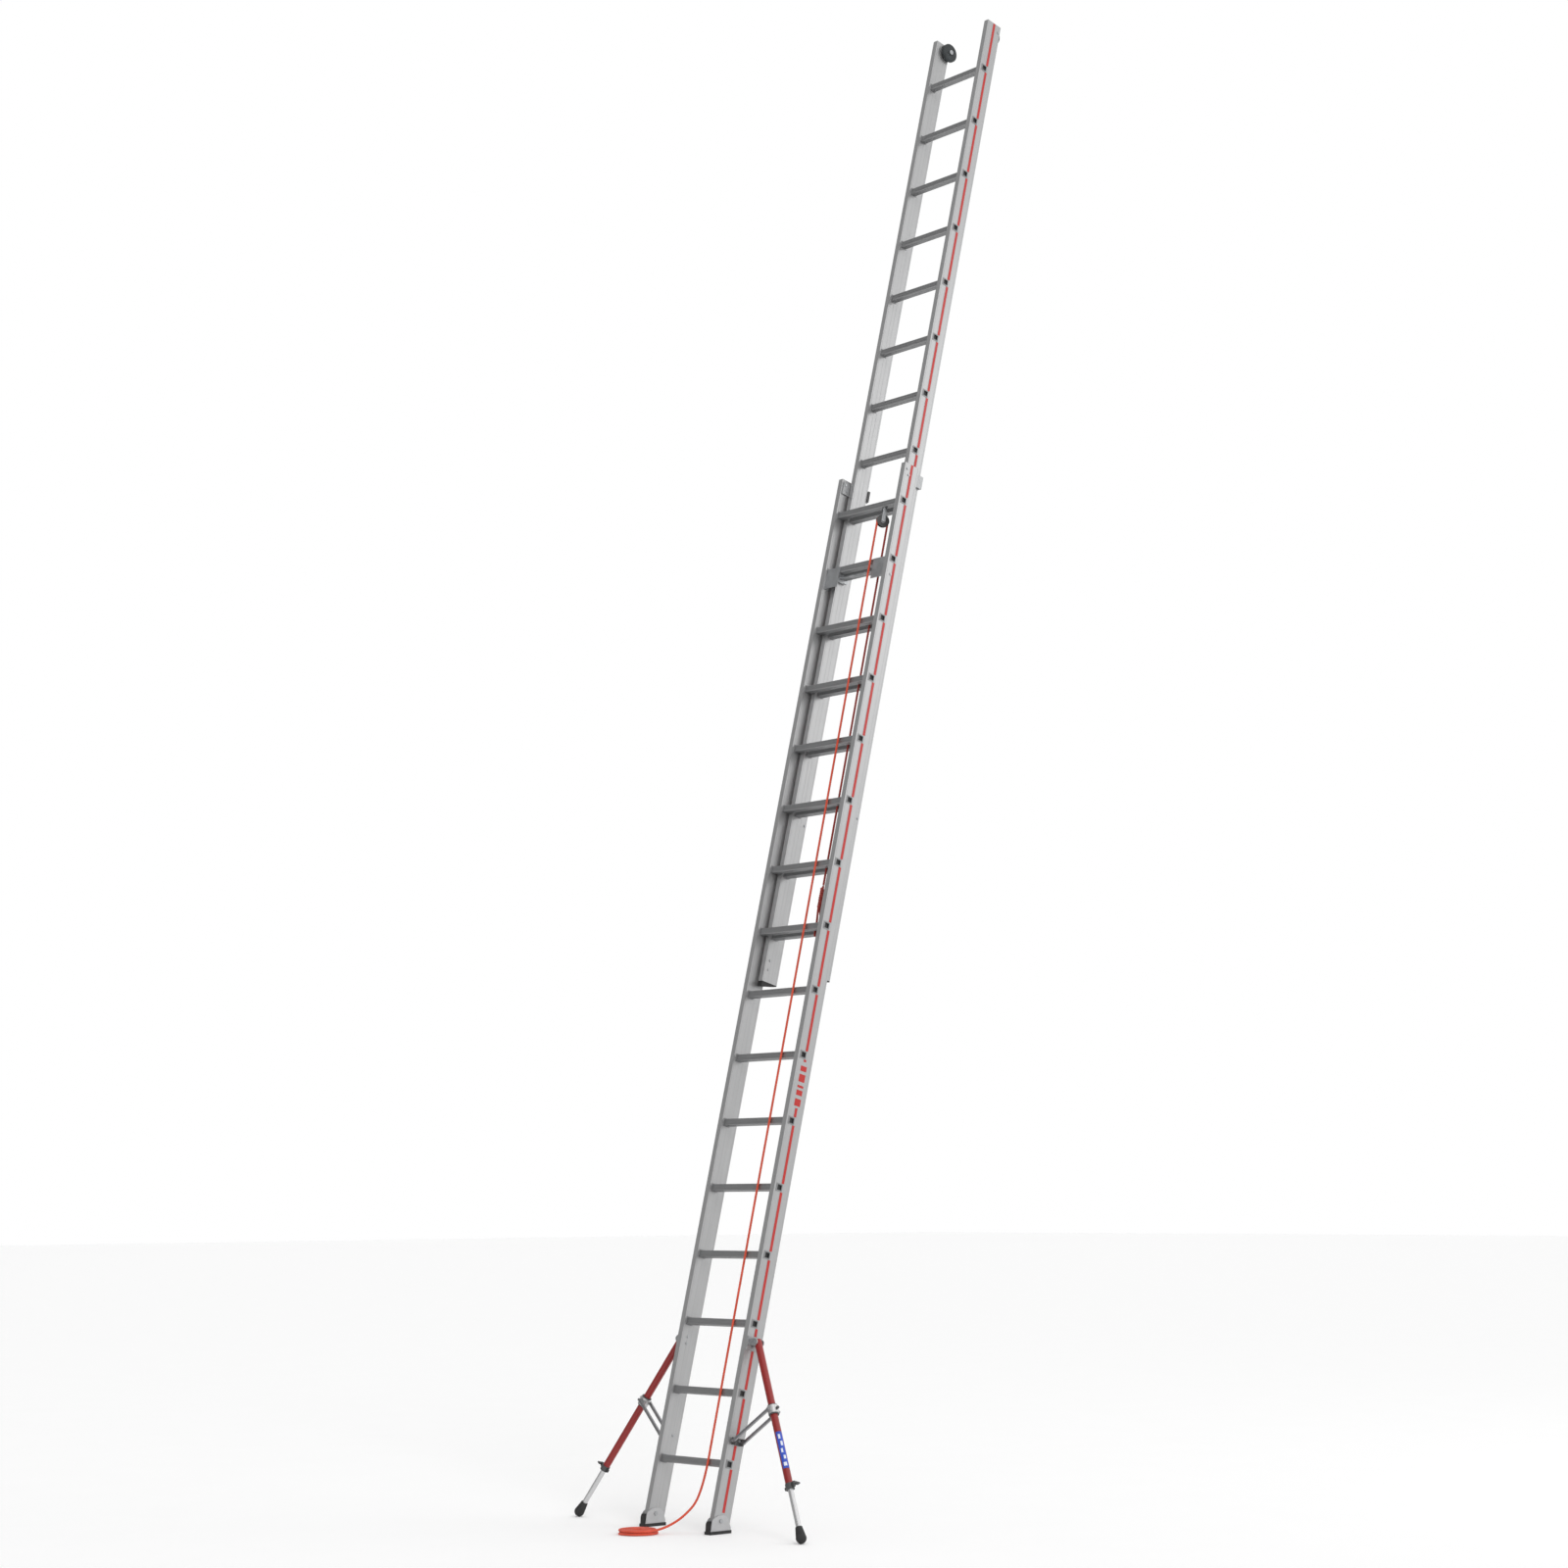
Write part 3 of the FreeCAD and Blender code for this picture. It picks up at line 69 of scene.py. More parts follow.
class Nodes:
    """Short-hand for one node tree, with object coordinates turned upright along the stiles."""

    def __init__(self, name, turn=(LEAN, 0, 0)):
        self.material = bpy.data.materials.new(name)
        self.material.use_nodes = True
        self.tree = self.material.node_tree
        self.shader = self.tree.nodes["Principled BSDF"]
        where = self.add("ShaderNodeTexCoord")
        upright = self.add("ShaderNodeMapping")
        upright.inputs["Rotation"].default_value = turn
        self.join(where.outputs["Object"], upright.inputs["Vector"])
        self.place = upright.outputs["Vector"]

    def add(self, kind, **settings):
        node = self.tree.nodes.new(kind)
        for key, value in settings.items():
            setattr(node, key, value)
        return node

    def join(self, source, target):
        self.tree.links.new(source, target)

    def scaled(self, scale):
        node = self.add("ShaderNodeMapping")
        node.inputs["Scale"].default_value = scale
        self.join(self.place, node.inputs["Vector"])
        return node.outputs["Vector"]

    def noise(self, scale, detail=3, stretch=(1, 1, 1)):
        node = self.add("ShaderNodeTexNoise")
        node.inputs["Scale"].default_value = scale
        node.inputs["Detail"].default_value = detail
        self.join(self.scaled(stretch), node.inputs["Vector"])
        return node.outputs["Fac"]

    def ramp(self, source, low, high, start=0.0, end=1.0):
        node = self.add("ShaderNodeMapRange")
        node.inputs["From Min"].default_value = start
        node.inputs["From Max"].default_value = end
        node.inputs["To Min"].default_value = low
        node.inputs["To Max"].default_value = high
        self.join(source, node.inputs["Value"])
        return node.outputs["Result"]

    def math(self, operation, first, second=None):
        node = self.add("ShaderNodeMath", operation=operation)
        for socket, value in zip(node.inputs, (first, second)):
            if value is None:
                continue
            if isinstance(value, (int, float)):
                socket.default_value = value
            else:
                self.join(value, socket)
        return node.outputs[0]

    def mix(self, factor, first, second):
        node = self.add("ShaderNodeMix", data_type="RGBA")
        for slot, value in ((0, factor), (6, first), (7, second)):
            socket = node.inputs[slot]
            if isinstance(value, (int, float)):
                socket.default_value = value
            elif isinstance(value, tuple):
                socket.default_value = (*value, 1)
            else:
                self.join(value, socket)
        return node.outputs[2]

    def bump(self, height, strength, distance, after=None):
        node = self.add("ShaderNodeBump")
        node.inputs["Strength"].default_value = strength
        node.inputs["Distance"].default_value = distance
        self.join(height, node.inputs["Height"])
        if after is not None:
            self.join(after, node.inputs["Normal"])
        return node.outputs["Normal"]

    def edges(self):
        """Lighter or darker where a shape turns a corner."""
        node = self.add("ShaderNodeNewGeometry")
        return node.outputs["Pointiness"]

    def finish(self, colour=None, roughness=None, normal=None, metallic=0.0, **constants):
        self.shader.inputs["Metallic"].default_value = metallic
        for value, socket in ((colour, "Base Color"), (roughness, "Roughness"), (normal, "Normal")):
            if value is None:
                continue
            if isinstance(value, tuple):
                self.shader.inputs[socket].default_value = (*value, 1)
            elif isinstance(value, (int, float)):
                self.shader.inputs[socket].default_value = value
            else:
                self.join(value, self.shader.inputs[socket])
        for name, value in constants.items():
            self.shader.inputs[name.replace("_", " ")].default_value = value
        return self.material


def aluminium(name, light, dark, metallic, streak=(60, 60, 0.6), rough=(0.34, 0.5)):
    """Extruded aluminium: long drawing lines, faint cloudiness, a scuff here and there."""
    n = Nodes(name)
    drawn = n.noise(9, 4, streak)
    cloud = n.noise(7, 3)
    scuff = n.noise(90, 4, (1, 1, 0.4))
    worn = n.ramp(scuff, 0, 1, 0.62, 0.78)
    base = n.mix(n.ramp(drawn, 0, 1, 0.3, 0.7), dark, light)
    base = n.mix(n.math("MULTIPLY", worn, 0.25), base, tuple(min(1, c * 1.12) for c in light))
    base = n.mix(n.ramp(cloud, 0, 0.16, 0.35, 0.75), base, tuple(c * 0.8 for c in dark))
    uneven = n.math("ADD", drawn, n.math("MULTIPLY", cloud, 0.6))
    roughness = n.ramp(uneven, rough[0], rough[1], 0.4, 1.2)
    normal = n.bump(scuff, 0.05, 0.0006, n.bump(drawn, 0.12, 0.0008))
    return n.finish(base, roughness, normal, metallic)


def stile_metal(name, front):
    """Stile extrusion: its outer and inner faces carry shallow ribs along their length."""
    n = Nodes(name)
    drawn = n.noise(9, 4, (60, 60, 0.5))
    cloud = n.noise(5, 3, (1, 1, 0.5))
    split = n.add("ShaderNodeSeparateXYZ")
    n.join(n.place, split.inputs[0])
    depth = split.outputs["Y"]
    ribs = None
    for edge in (0.007, 0.033, 0.052, 0.078):
        away = n.math("ABSOLUTE", n.math("SUBTRACT", depth, front + edge))
        line = n.ramp(away, 1, 0, 0.0004, 0.0012)
        ribs = line if ribs is None else n.math("MAXIMUM", ribs, line)
    scratch = n.ramp(n.noise(26, 5, (9, 9, 0.5)), 0, 1, 0.68, 0.72)
    base = n.mix(n.ramp(drawn, 0, 1, 0.25, 0.75), (0.40, 0.402, 0.405), (0.46, 0.46, 0.462))
    base = n.mix(n.math("MULTIPLY", ribs, 0.25), base, (0.26, 0.263, 0.266))
    base = n.mix(n.ramp(cloud, 0, 0.16, 0.35, 0.75), base, (0.30, 0.303, 0.306))
    base = n.mix(n.math("MULTIPLY", scratch, 0.2), base, (0.60, 0.60, 0.60))
    roughness = n.ramp(n.math("ADD", drawn, scratch), 0.36, 0.55, 0.4, 1.4)
    normal = n.bump(ribs, 0.5, 0.0006, n.bump(drawn, 0.12, 0.0008))
    return n.finish(base, roughness, normal, 0.75)


def plain_metal(name, light, dark, metallic=0.9, grain=220, rough=(0.3, 0.5), depth=0.0004):
    """Plated or cast metal with fine grain and duller patches."""
    n = Nodes(name)
    fine, patch = n.noise(grain, 4), n.noise(28, 3)
    base = n.mix(n.ramp(patch, 0, 1, 0.35, 0.68), dark, light)
    edge = n.ramp(n.edges(), 0, 0.5, 0.5, 0.62)
    base = n.mix(edge, base, tuple(min(1, c * 1.25) for c in light))
    roughness = n.ramp(n.math("ADD", fine, patch), rough[0], rough[1], 0.7, 1.3)
    return n.finish(base, roughness, n.bump(fine, 0.25, depth), metallic)


def plastic(name, colour, grey=0.35, grain=420, rough=(0.42, 0.62)):
    """Moulded plastic: fine spark-eroded grain, rubbed paler at its edges."""
    n = Nodes(name)
    fine, patch = n.noise(grain, 3), n.noise(18, 3)
    pale = tuple(c + grey * 0.12 for c in colour)
    base = n.mix(n.ramp(patch, 0, 0.5, 0.35, 0.75), colour, pale)
    base = n.mix(n.ramp(n.edges(), 0, 0.6, 0.51, 0.6), base, tuple(c + 0.09 for c in colour))
    roughness = n.ramp(n.math("ADD", fine, patch), rough[0], rough[1], 0.7, 1.3)
    return n.finish(base, roughness, n.bump(fine, 0.3, 0.0003))


def rubber(name, colour):
    """Vulcanised rubber: dusty bloom, fine texture."""
    n = Nodes(name)
    fine, dust = n.noise(300, 4), n.noise(34, 4)
    base = n.mix(n.ramp(dust, 0, 0.6, 0.42, 0.75), colour, tuple(c * 2.4 + 0.02 for c in colour))
    roughness = n.ramp(dust, 0.55, 0.85, 0.3, 0.75)
    return n.finish(base, roughness, n.bump(fine, 0.4, 0.0004))


def painted(name, colour, turn=(LEAN, 0, 0)):
    """Powder coat: orange peel, faint scratches through to a paler tone."""
    n = Nodes(name, turn)
    peel, cloud = n.noise(240, 2), n.noise(6, 3)
    scratch = n.ramp(n.noise(60, 5, (1, 1, 0.15)), 0, 1, 0.66, 0.7)
    deep = tuple(c * 0.72 for c in colour)
    base = n.mix(n.ramp(cloud, 0, 0.5, 0.35, 0.75), colour, deep)
    base = n.mix(n.math("MULTIPLY", scratch, 0.3), base, tuple(min(1, c * 1.25 + 0.05) for c in colour))
    roughness = n.ramp(n.math("ADD", peel, cloud), 0.26, 0.42, 0.7, 1.3)
    normal = n.bump(peel, 0.12, 0.0004)
    return n.finish(base, roughness, normal, Coat_Weight=0.25, Coat_Roughness=0.18)


def film(name, colour):
    """Adhesive film: slight waviness, dust held along it."""
    n = Nodes(name)
    wave, dust = n.noise(40, 3, (1, 1, 0.3)), n.noise(160, 4)
    base = n.mix(n.ramp(dust, 0, 0.35, 0.45, 0.8), colour, tuple(c * 0.75 for c in colour))
    roughness = n.ramp(wave, 0.3, 0.45, 0.3, 0.7)
    return n.finish(base, roughness, n.bump(wave, 0.1, 0.0005))


def cord_fibre(name, colour):
    """Laid polypropylene: fine parallel fibres, slight fade."""
    n = Nodes(name)
    fibre, fade = n.noise(900, 3, (1, 1, 0.4)), n.noise(22, 3)
    base = n.mix(n.ramp(fade, 0, 1, 0.3, 0.7), colour, tuple(min(1, c * 1.2 + 0.03) for c in colour))
    base = n.mix(n.ramp(fibre, 0.35, 0, 0.35, 0.6), base, tuple(c * 0.5 for c in colour))
    roughness = n.ramp(fibre, 0.5, 0.75, 0.3, 0.7)
    return n.finish(base, roughness, n.bump(fibre, 0.5, 0.0003), Sheen_Weight=0.15)


base_metal = stile_metal("base_stile_metal", 0.0)
fly_metal = stile_metal("fly_stile_metal", 0.045)
rung_metal = aluminium("rung_metal", (0.31, 0.312, 0.316), (0.25, 0.252, 0.256), 0.7, (0.6, 60, 60))
tube_metal = aluminium(
    "tube_metal", (0.68, 0.68, 0.685), (0.56, 0.562, 0.566), 0.9, streak=(60, 60, 1), rough=(0.22, 0.36),
)
strut_metal = aluminium("strut_metal", (0.38, 0.38, 0.39), (0.26, 0.26, 0.27), 0.85, (20, 60, 20))
cast_metal = plain_metal(
    "cast_metal", (0.42, 0.425, 0.43), (0.30, 0.305, 0.31), 0.7, grain=160, rough=(0.42, 0.6), depth=0.0007,
)
zinc = plain_metal("zinc_plate", (0.40, 0.41, 0.42), (0.25, 0.255, 0.26), 0.95)
bright_band = plain_metal(
    "bright_band", (0.55, 0.55, 0.55), (0.42, 0.42, 0.42), 0.85, grain=180, rough=(0.25, 0.4),
)
shell_metal = plain_metal(
    "shell_metal", (0.44, 0.44, 0.445), (0.34, 0.345, 0.35), 0.75, grain=240, rough=(0.35, 0.5),
)
yellow_zinc = plain_metal(
    "yellow_zinc", (0.6, 0.5, 0.26), (0.42, 0.33, 0.16), 0.9, grain=300, rough=(0.28, 0.42),
)
black = plastic("black_plastic", (0.012, 0.012, 0.013))
sheave_black = plastic("sheave_plastic", (0.01, 0.01, 0.011), 0.2, 300, (0.3, 0.45))
black_rubber = rubber("black_rubber", (0.012, 0.012, 0.012))
wheel_rubber = rubber("wheel_rubber", (0.022, 0.026, 0.028))
leg_red = painted("leg_red", (0.27, 0.008, 0.007))
stripe_red = film("stripe_red", (0.46, 0.018, 0.014))
label_blue = film("label_blue", (0.03, 0.08, 0.5))
label_white = film("label_white", (0.75, 0.78, 0.85))
orange = cord_fibre("rope_orange", (0.66, 0.062, 0.018))
# Same rope as rope_orange, made darker and redder: painted shade for the bend over the sheave, the rear run
# and the knot.
rope_painted_shade = cord_fibre("rope_orange_painted_shade", (0.36, 0.024, 0.012))

MATERIALS = {
    "base_stile": base_metal, "fly_stile": fly_metal, "base_rungs": rung_metal, "fly_rungs": rung_metal,
    "base_rung_collars": rung_metal, "fly_rung_collars": rung_metal,
    "base_rung_plugs": black, "fly_rung_plugs": black, "base_stripes": stripe_red, "fly_stripes": stripe_red,
    "base_guides": cast_metal, "base_guide_pads": black, "base_bolts": zinc, "fly_bolts": zinc,
    "fly_top_caps": cast_metal, "fly_bottom_caps": black_rubber, "fly_sliders": black,
    "wall_wheel": wheel_rubber, "wheel_axles": zinc, "pulley_sheave": sheave_black, "pulley_bracket": zinc,
    "pulley_axle": zinc, "latch_brackets": zinc, "latch_shaft": zinc, "latch_hooks": zinc,
    "latch_springs": yellow_zinc, "leg_brackets": cast_metal, "leg_pivot_bolts": zinc, "leg_tube": leg_red,
    "leg_clamp": black, "leg_knob": black, "leg_inner_tube": tube_metal, "leg_foot": black_rubber,
    "collar_bush": black, "collar_pin": black, "collar": bright_band, "strut_blocks": black,
    "struts": strut_metal, "shoe_shell": shell_metal, "shoe_sole": black_rubber, "shoe_bolts": zinc,
    "rope_knot": orange, "rope_over_sheave": orange, "rope_rear": orange, "rope_front": orange,
    "rope_coil": orange,
}


def dress(obj, material):
    obj.data.materials.clear()
    obj.data.materials.append(material)


for name, obj in frame["nodes"].items():
    key = name.removesuffix("_left").removesuffix("_right")
    dress(obj, MATERIALS[key])


# ---------------------------------------------------------------- pieces

def piece(name, mesh, body, material, smooth=True):
    obj = bpy.data.objects.new(name, mesh)
    bpy.context.scene.collection.objects.link(obj)
    if smooth:
        for face in mesh.polygons:
            face.use_smooth = True
    dress(obj, material)
    if body:
        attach(obj, body)
    return obj


def along(points, step):
    """The same line as evenly spaced points."""
    result, left = [points[0].copy()], step
    for start, end in zip(points, points[1:]):
        span = (end - start).length
        if span < 1e-9:
            continue
        at = left
        while at <= span:
            result.append(start.lerp(end, at / span))
            at += step
        left = at - span
    if (result[-1] - points[-1]).length > step * 0.3:
        result.append(points[-1].copy())
    return result


def frames(line):
    """Tangent, side and up at each point, carried along without twist."""
    tangents = []
    for i in range(len(line)):
        before, after = line[max(0, i - 1)], line[min(len(line) - 1, i + 1)]
        tangents.append((after - before).normalized())
    side = tangents[0].orthogonal().normalized()
    result = []
    for tangent in tangents:
        side = (side - tangent * side.dot(tangent)).normalized()
        result.append((tangent, side, tangent.cross(side)))
    return result


def rope_mesh(name, line, diameter=ROPE, lay=0.030, strands=3, sides=18, step=0.0025):
    """Laid rope along a line: three strands in a helix, each end rounded off."""
    line = along(line, step)
    mesh = bmesh.new()
    rings = []
    radius = diameter / 2
    for i, (point, (tangent, side, up)) in enumerate(zip(line, frames(line))):
        twist = 2 * math.pi * i * step / lay
        from_end = min(i, len(line) - 1 - i) * step
        close = math.sqrt(max(0.04, 1 - max(0, 1 - from_end / (radius * 0.9)) ** 2))
        ring = []
        for k in range(sides):
            angle = 2 * math.pi * k / sides
            lobe = abs(math.cos(strands * angle / 2))
            reach = radius * close * (0.82 + 0.18 * lobe ** 0.7)
            across = side * math.cos(angle + twist) + up * math.sin(angle + twist)
            ring.append(mesh.verts.new(point + across * reach))
        rings.append(ring)
    for first, second in zip(rings, rings[1:]):
        for k in range(sides):
            following = (k + 1) % sides
            mesh.faces.new((first[k], first[following], second[following], second[k]))
    mesh.faces.new(list(reversed(rings[0])))
    mesh.faces.new(rings[-1])
    bmesh.ops.recalc_face_normals(mesh, faces=mesh.faces)
    data = bpy.data.meshes.new(name)
    mesh.to_mesh(data)
    mesh.free()
    return data


def nurbs_line(name, points, resolution=16):
    """Points read from a NURBS spline through the given control points."""
    curve = bpy.data.curves.new(name, "CURVE")
    curve.dimensions = "3D"
    spline = curve.splines.new("NURBS")
    spline.points.add(len(points) - 1)
    for control, point in zip(spline.points, points):
        control.co = (*point, 1)
    spline.order_u = 3
    spline.use_endpoint_u = True
    spline.resolution_u = resolution
    route = bpy.data.objects.new(name, curve)
    mesh = bpy.data.meshes.new_from_object(route)
    line = [vertex.co.copy() for vertex in mesh.vertices]
    bpy.data.objects.remove(route)
    bpy.data.curves.remove(curve)
    bpy.data.meshes.remove(mesh)
    return line


# The hauling rope's front run and its coil, the same route as the CAD tube.
YAW = math.radians(25)
GROOVE = 24
sheave = (101, 28, 4402)
reach = (GROOVE * math.sin(YAW), GROOVE * math.cos(YAW))
front_top = world(sheave[0] - reach[0], sheave[1] - reach[1], sheave[2] - 0.05)
corner = world(107.5, 8.2, 262)
tail = [
    Vector(point) / 1000
    for point in (
        (100, 50, 170), (93, 24, 112), (86, -12, 78), (79, -50, 52),
        (73, -92, 33), (67, -137, 20), (62, -186, 15.5),
    )
]
straight = (corner - front_top).normalized()
near_sheave = front_top + straight * 0.048
near_corner = corner - straight * (tail[0] - corner).length
control = [front_top, near_sheave, near_corner, corner] + tail
coil = Vector((-0.017, -0.180, 0))
TURN_POINTS, UPPER, LOWER = 14, 0.0153, 0.0052
OUT, IN, PITCH = 0.0788, 0.0212, 0.0101


def coil_points():
    """Neat flat coil of two layers: inwards on top, down at the eye, outwards below."""
    points = []
    turns = (OUT - IN) / PITCH
    angle = math.atan2(tail[-1].y - coil.y, tail[-1].x - coil.x)
    steps = round(turns * TURN_POINTS)
    for i in range(1, steps + 1):
        radius = OUT - PITCH * i / TURN_POINTS
        turn = angle - 2 * math.pi * i / TURN_POINTS
        points.append(coil + Vector((radius * math.cos(turn), radius * math.sin(turn), UPPER)))
    angle -= 2 * math.pi * steps / TURN_POINTS
    down = 8
    for i in range(1, down + 1):
        share = i / down
        turn = angle - 2 * math.pi * i / TURN_POINTS
        height = UPPER + (LOWER - UPPER) * share * share * (3 - 2 * share)
        points.append(coil + Vector((IN * math.cos(turn), IN * math.sin(turn), height)))
    angle -= 2 * math.pi * down / TURN_POINTS
    for i in range(1, steps + 5):
        radius = IN + PITCH * i / TURN_POINTS
        turn = angle - 2 * math.pi * i / TURN_POINTS
        points.append(coil + Vector((radius * math.cos(turn), radius * math.sin(turn), LOWER)))
    return points


line = nurbs_line("front_route", control + coil_points(), 24)
front = piece("hauling_rope", rope_mesh("hauling_rope", line), "base", orange)
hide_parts("rope_front", "rope_coil")

# Over the sheave, then the taut rear run down to the knot on the lowest fly rung.
wheel = world(*sheave)
across = world(sheave[0] + reach[0], sheave[1] + reach[1], sheave[2]) - wheel
upward = Vector((0, SIN, COS)) * across.length
over = [
    wheel + across * math.cos(a) + upward * math.sin(a)
    for a in (math.pi * k / 40 for k in range(41))
]
# The bend over the sheave takes the darker rope colour, which is painted shade.
bend = piece("rope_bend", rope_mesh("rope_bend", over), "base", rope_painted_shade)
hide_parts("rope_over_sheave")

KNOT_SIDE, KNOT_BACK, KNOT_LOW, KNOT_HIGH = 119, 52.9, 2598, 2713
KNOT_TURNS, STRAND = 9, 5.2
RUNG_BACK, RUNG_UP, RUNG_HALF = 72.5, 2511, 14
knot_top = world(KNOT_SIDE, KNOT_BACK, KNOT_HIGH)
rear_top = world(sheave[0] + reach[0], sheave[1] + reach[1], sheave[2])
# The rear run takes the darker rope colour, which is painted shade.
rear = piece("rear_rope", rope_mesh("rear_rope", [rear_top, knot_top]), None, rope_painted_shade)
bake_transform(rear)
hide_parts("rope_rear")


def knot_lines():
    """A knot's wraps round two standing parts, those parts, and the loop round the lowest fly rung."""
    wraps = []
    rise = (KNOT_HIGH - KNOT_LOW - 26) / KNOT_TURNS
    for i in range(KNOT_TURNS * 16 + 1):
        a = 2 * math.pi * i / 16
        swell = 6.4 + 0.5 * math.sin(i * 0.7)
        side, back = KNOT_SIDE + swell * math.cos(a), KNOT_BACK + swell * math.sin(a)
        wraps.append(world(side, back, KNOT_LOW + 14 + rise * i / 16))
    heights = (KNOT_HIGH, KNOT_HIGH - 40, KNOT_LOW + 30, KNOT_LOW + 6)
    standing = [world(KNOT_SIDE, KNOT_BACK, u) for u in heights]
    clear = RUNG_HALF + ROPE * 500 + 0.05
    front, back, under = RUNG_BACK - clear, RUNG_BACK + clear, RUNG_UP - clear
    outline = (
        (KNOT_BACK - STRAND, KNOT_LOW + 20), (KNOT_BACK - STRAND, KNOT_LOW), (front, RUNG_UP + clear + 20),
        (front, under + 6), (front, under), (front + 6, under), (back - 6, under), (back, under),
        (back, under + 6), (back, RUNG_UP + clear - 4), (back, RUNG_UP + clear + 2),
        (back - 4, RUNG_UP + clear + 10), (KNOT_BACK + STRAND, KNOT_LOW), (KNOT_BACK + STRAND, KNOT_LOW + 20),
    )
    return wraps, standing, [world(KNOT_SIDE, d, u) for d, u in outline]


wraps, standing, loop = knot_lines()
wraps, loop = nurbs_line("wraps", wraps, 6), nurbs_line("loop", loop, 10)
# The knot's wraps, core and loop take the darker rope colour, which is painted shade.
knot = piece("knot_wraps", rope_mesh("knot_wraps", wraps), "fly", rope_painted_shade)
piece("knot_core", rope_mesh("knot_core", standing), "fly", rope_painted_shade)
piece("knot_loop", rope_mesh("knot_loop", loop), "fly", rope_painted_shade)
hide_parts("rope_knot")

# ---------------------------------------------------------------- markings


def plate(name, corners, thick, body, material):
    """Thin marking on four corners, standing off along their normal."""
    mesh = bmesh.new()
    a, b, c = corners[0], corners[1], corners[2]
    normal = (b - a).cross(c - a).normalized()
    low = [mesh.verts.new(p) for p in corners]
    high = [mesh.verts.new(p + normal * thick) for p in corners]
    mesh.faces.new(list(reversed(low)))
    mesh.faces.new(high)
    for i in range(len(corners)):
        j = (i + 1) % len(corners)
        mesh.faces.new((low[i], low[j], high[j], high[i]))
    bmesh.ops.recalc_face_normals(mesh, faces=mesh.faces)
    data = bpy.data.meshes.new(name)
    mesh.to_mesh(data)
    mesh.free()
    return piece(name, data, body, material, smooth=False)


# Plain bars on the outer stile faces, between the sixth and seventh rungs.
BAR_FACE, BAR_NEAR, BAR_FAR = 215.05, 26, 59
BARS = ((1745, 1775), (1790, 1812), (1822, 1832), (1847, 1879), (1892, 1914))
for side, sign in (("right", 1), ("left", -1)):
    for i, (low, high) in enumerate(BARS):
        ring = [
            world(sign * BAR_FACE, BAR_NEAR, low), world(sign * BAR_FACE, BAR_FAR, low),
            world(sign * BAR_FACE, BAR_FAR, high), world(sign * BAR_FACE, BAR_NEAR, high),
        ]
        if sign < 0:
            ring.reverse()
        plate(f"stile_bar_{side}_{i}", ring, 0.0004, "base", stripe_red)


LEG_OUT, LEG_BACK, LEG_UP = 240, 42.5, 768
LABEL_RADIUS, MARK_RADIUS = 15.05, 15.32


def leg_point(x, y, z):
    """Right leg's own frame (out from the axis, back, along) to metres in the world."""
    sideways = LEG_OUT + x * math.cos(LEG) - z * math.sin(LEG)
    return world(sideways, LEG_BACK + y, LEG_UP + x * math.sin(LEG) + z * math.cos(LEG))


def wrapped(name, low, high, start, end, radius, thick, material, columns=12, rows=10):
    """Label curved round the right leg tube between two angles, in degrees from straight forwards."""
    mesh = bmesh.new()
    layers = []
    for r in (radius, radius + thick):
        grid = []
        for j in range(rows + 1):
            z = low + (high - low) * j / rows
            grid.append([
                mesh.verts.new(leg_point(r * math.sin(a), -r * math.cos(a), z))
                for a in (math.radians(start + (end - start) * i / columns) for i in range(columns + 1))
            ])
        layers.append(grid)
    inner, outer = layers
    for grid in layers:
        for j in range(rows):
            for i in range(columns):
                mesh.faces.new((grid[j][i], grid[j][i + 1], grid[j + 1][i + 1], grid[j + 1][i]))
    rim = [(j, 0) for j in range(rows)] + [(rows, i) for i in range(columns)]
    rim += [(j, columns) for j in range(rows, 0, -1)] + [(0, i) for i in range(columns, 0, -1)]
    for (j, i), (m, n) in zip(rim, rim[1:] + rim[:1]):
        mesh.faces.new((inner[j][i], inner[m][n], outer[m][n], outer[j][i]))
    bmesh.ops.recalc_face_normals(mesh, faces=mesh.faces)
    data = bpy.data.meshes.new(name)
    mesh.to_mesh(data)
    mesh.free()
    return piece(name, data, "leg_right", material)


wrapped("leg_label", -568, -408, 2, 108, LABEL_RADIUS, 0.25, label_blue)
for i, (low, high, start, end) in enumerate(
    (
        (-440, -420, 30, 62), (-470, -450, 46, 80), (-500, -482, 30, 60),
        (-528, -512, 48, 84), (-558, -542, 26, 78),
    )
):
    wrapped(f"leg_label_mark_{i}", low, high, start, end, MARK_RADIUS, 0.12, label_white, columns=6, rows=4)

# ---------------------------------------------------------------- stage, light and camera

FLOOR_WIDE, FLOOR_TOP = 160, -0.0005
bpy.ops.mesh.primitive_plane_add(size=FLOOR_WIDE, location=(0, 0, FLOOR_TOP))
floor = bpy.context.object
floor.name = "floor"
n = Nodes("floor_paint", (0, 0, 0))
soft = n.noise(3, 3)
pale = n.mix(n.ramp(soft, 0, 1), (0.985, 0.985, 0.985), (1.0, 1.0, 1.0))
dress(floor, n.finish(pale, 0.9, n.bump(soft, 0.02, 0.001)))

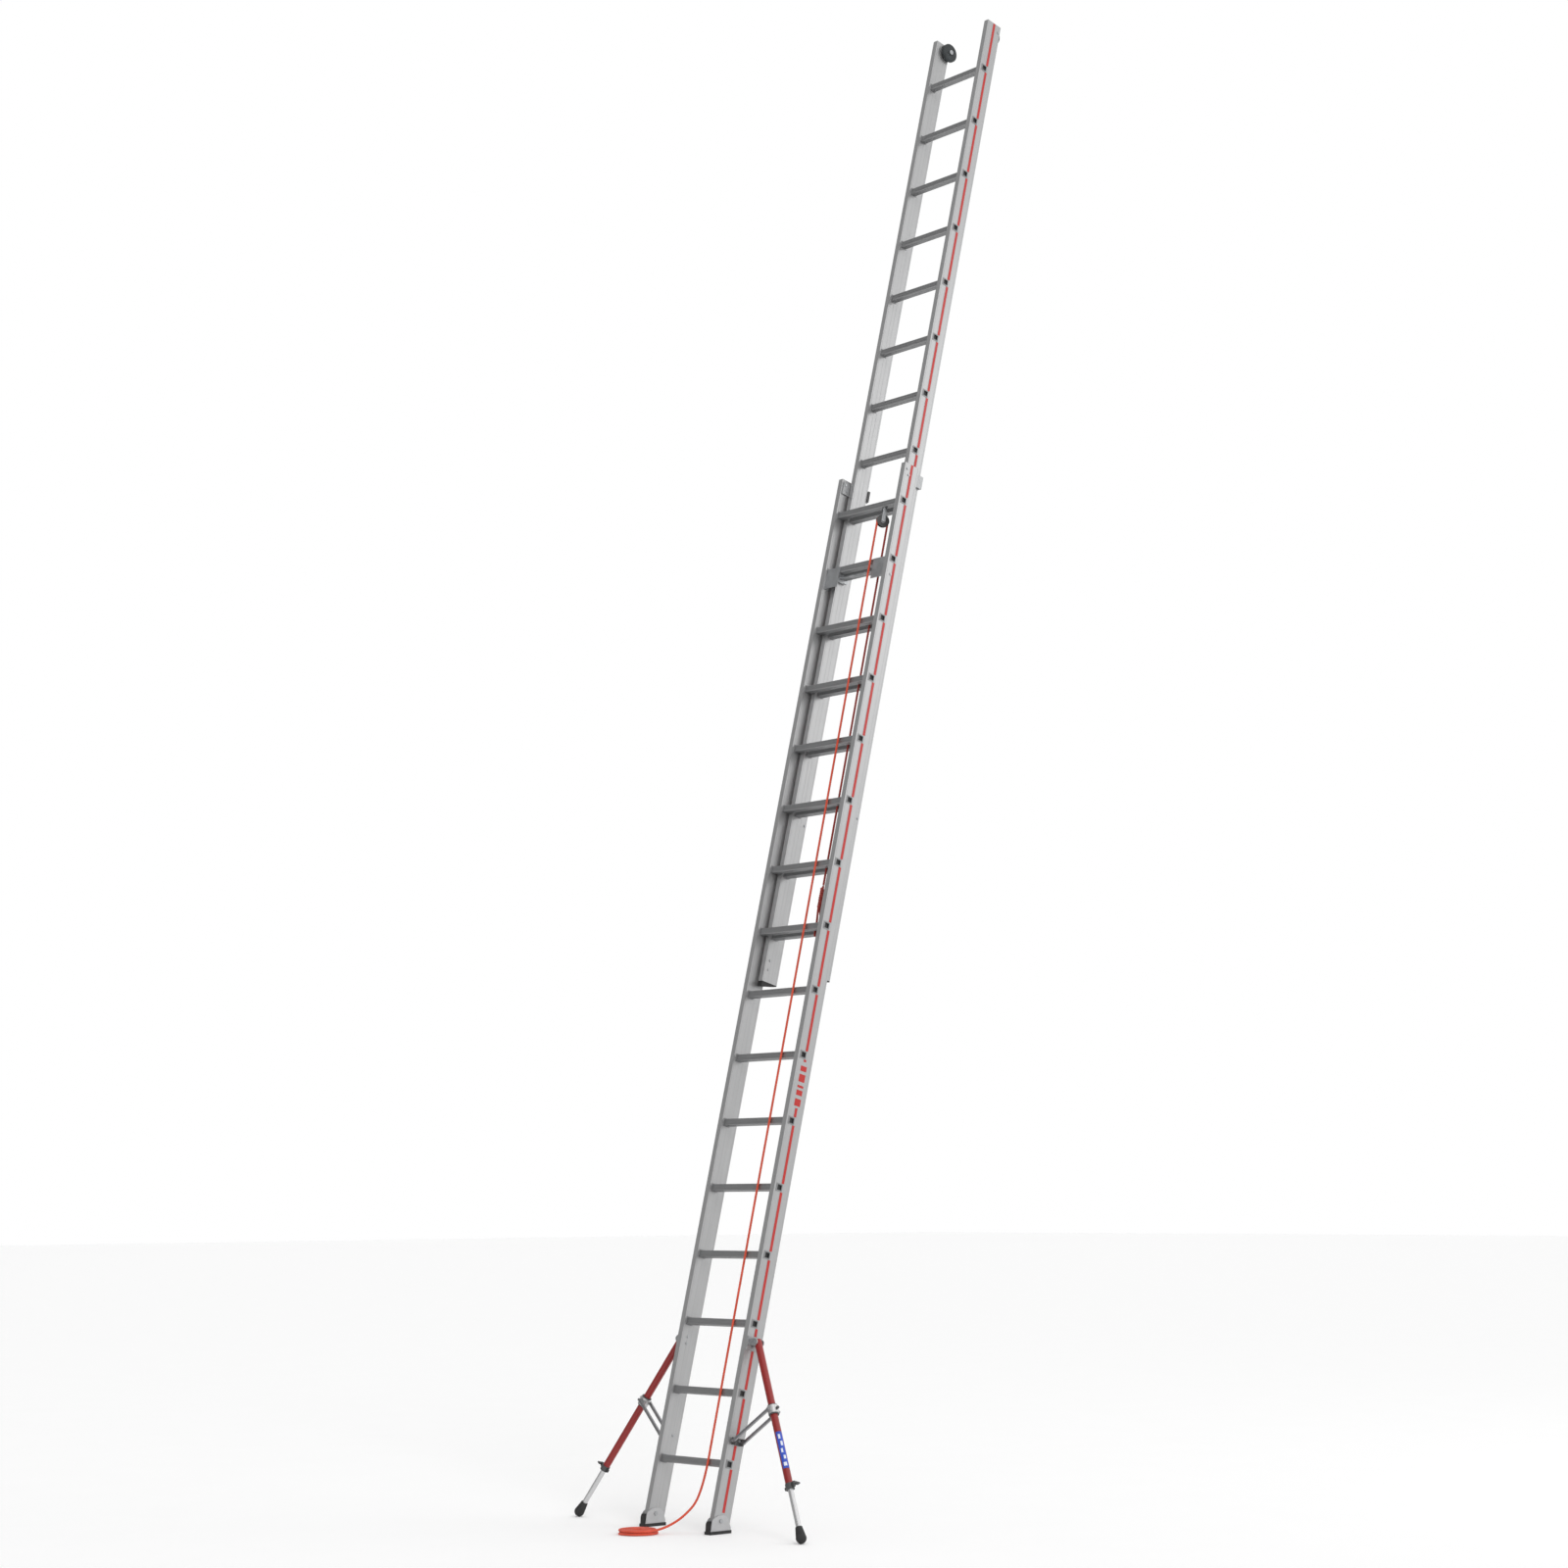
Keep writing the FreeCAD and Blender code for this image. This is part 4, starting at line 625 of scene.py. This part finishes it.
# Soft light all round, dimmer from the front left, so that the front faces read darker than the sides.
sky = bpy.data.worlds.new("studio")
bpy.context.scene.world = sky
sky.use_nodes = True
tree = sky.node_tree
where = tree.nodes.new("ShaderNodeTexCoord")
towards = tree.nodes.new("ShaderNodeVectorMath")
towards.operation = "DOT_PRODUCT"
towards.inputs[1].default_value = (-0.5, -0.85, 0)
fall = tree.nodes.new("ShaderNodeMapRange")
fall.interpolation_type = "SMOOTHSTEP"
for socket, value in (("From Min", 0.1), ("From Max", 0.75), ("To Min", 1.0), ("To Max", 0.4)):
    fall.inputs[socket].default_value = value
tree.links.new(where.outputs["Generated"], towards.inputs[0])
tree.links.new(towards.outputs["Value"], fall.inputs["Value"])
tree.links.new(fall.outputs["Result"], tree.nodes["Background"].inputs["Strength"])
tree.nodes["Background"].inputs["Color"].default_value = (1, 1, 1, 1)


def lamp(name, kind, place, target, power, wide):
    light = bpy.data.lights.new(name, kind)
    light.energy = power
    if kind == "SUN":
        light.angle = wide
    else:
        light.size = wide
    obj = bpy.data.objects.new(name, light)
    bpy.context.scene.collection.objects.link(obj)
    obj.location = place
    obj.rotation_euler = (Vector(target) - Vector(place)).to_track_quat("-Z", "Y").to_euler()


lamp("key", "SUN", (8, -2, 8), (0, 1, 1), 0.55, math.radians(22))
lamp("rim", "AREA", (6, 7, 6), (0, 1, 3), 60, 4)

CAMERA_PLACE, FOCAL, SENSOR = (9.1487, -7.6169, 1.2928), 66.9, 36
azimuth, pitch, roll = math.radians(48.08), math.radians(8.16), math.radians(-0.29)
camera = bpy.data.cameras.new("camera")
camera.sensor_width = SENSOR
camera.lens = FOCAL
camera.clip_end = 300
viewer = bpy.data.objects.new("camera", camera)
bpy.context.scene.collection.objects.link(viewer)
viewer.location = CAMERA_PLACE
level = math.cos(pitch)
facing = Vector((-math.sin(azimuth) * level, math.cos(azimuth) * level, math.sin(pitch)))
viewer.rotation_euler = (facing.to_track_quat("-Z", "Y") @ Quaternion((0, 0, 1), roll)).to_euler()
bpy.context.scene.camera = viewer
bpy.context.scene.view_settings.view_transform = "Standard"
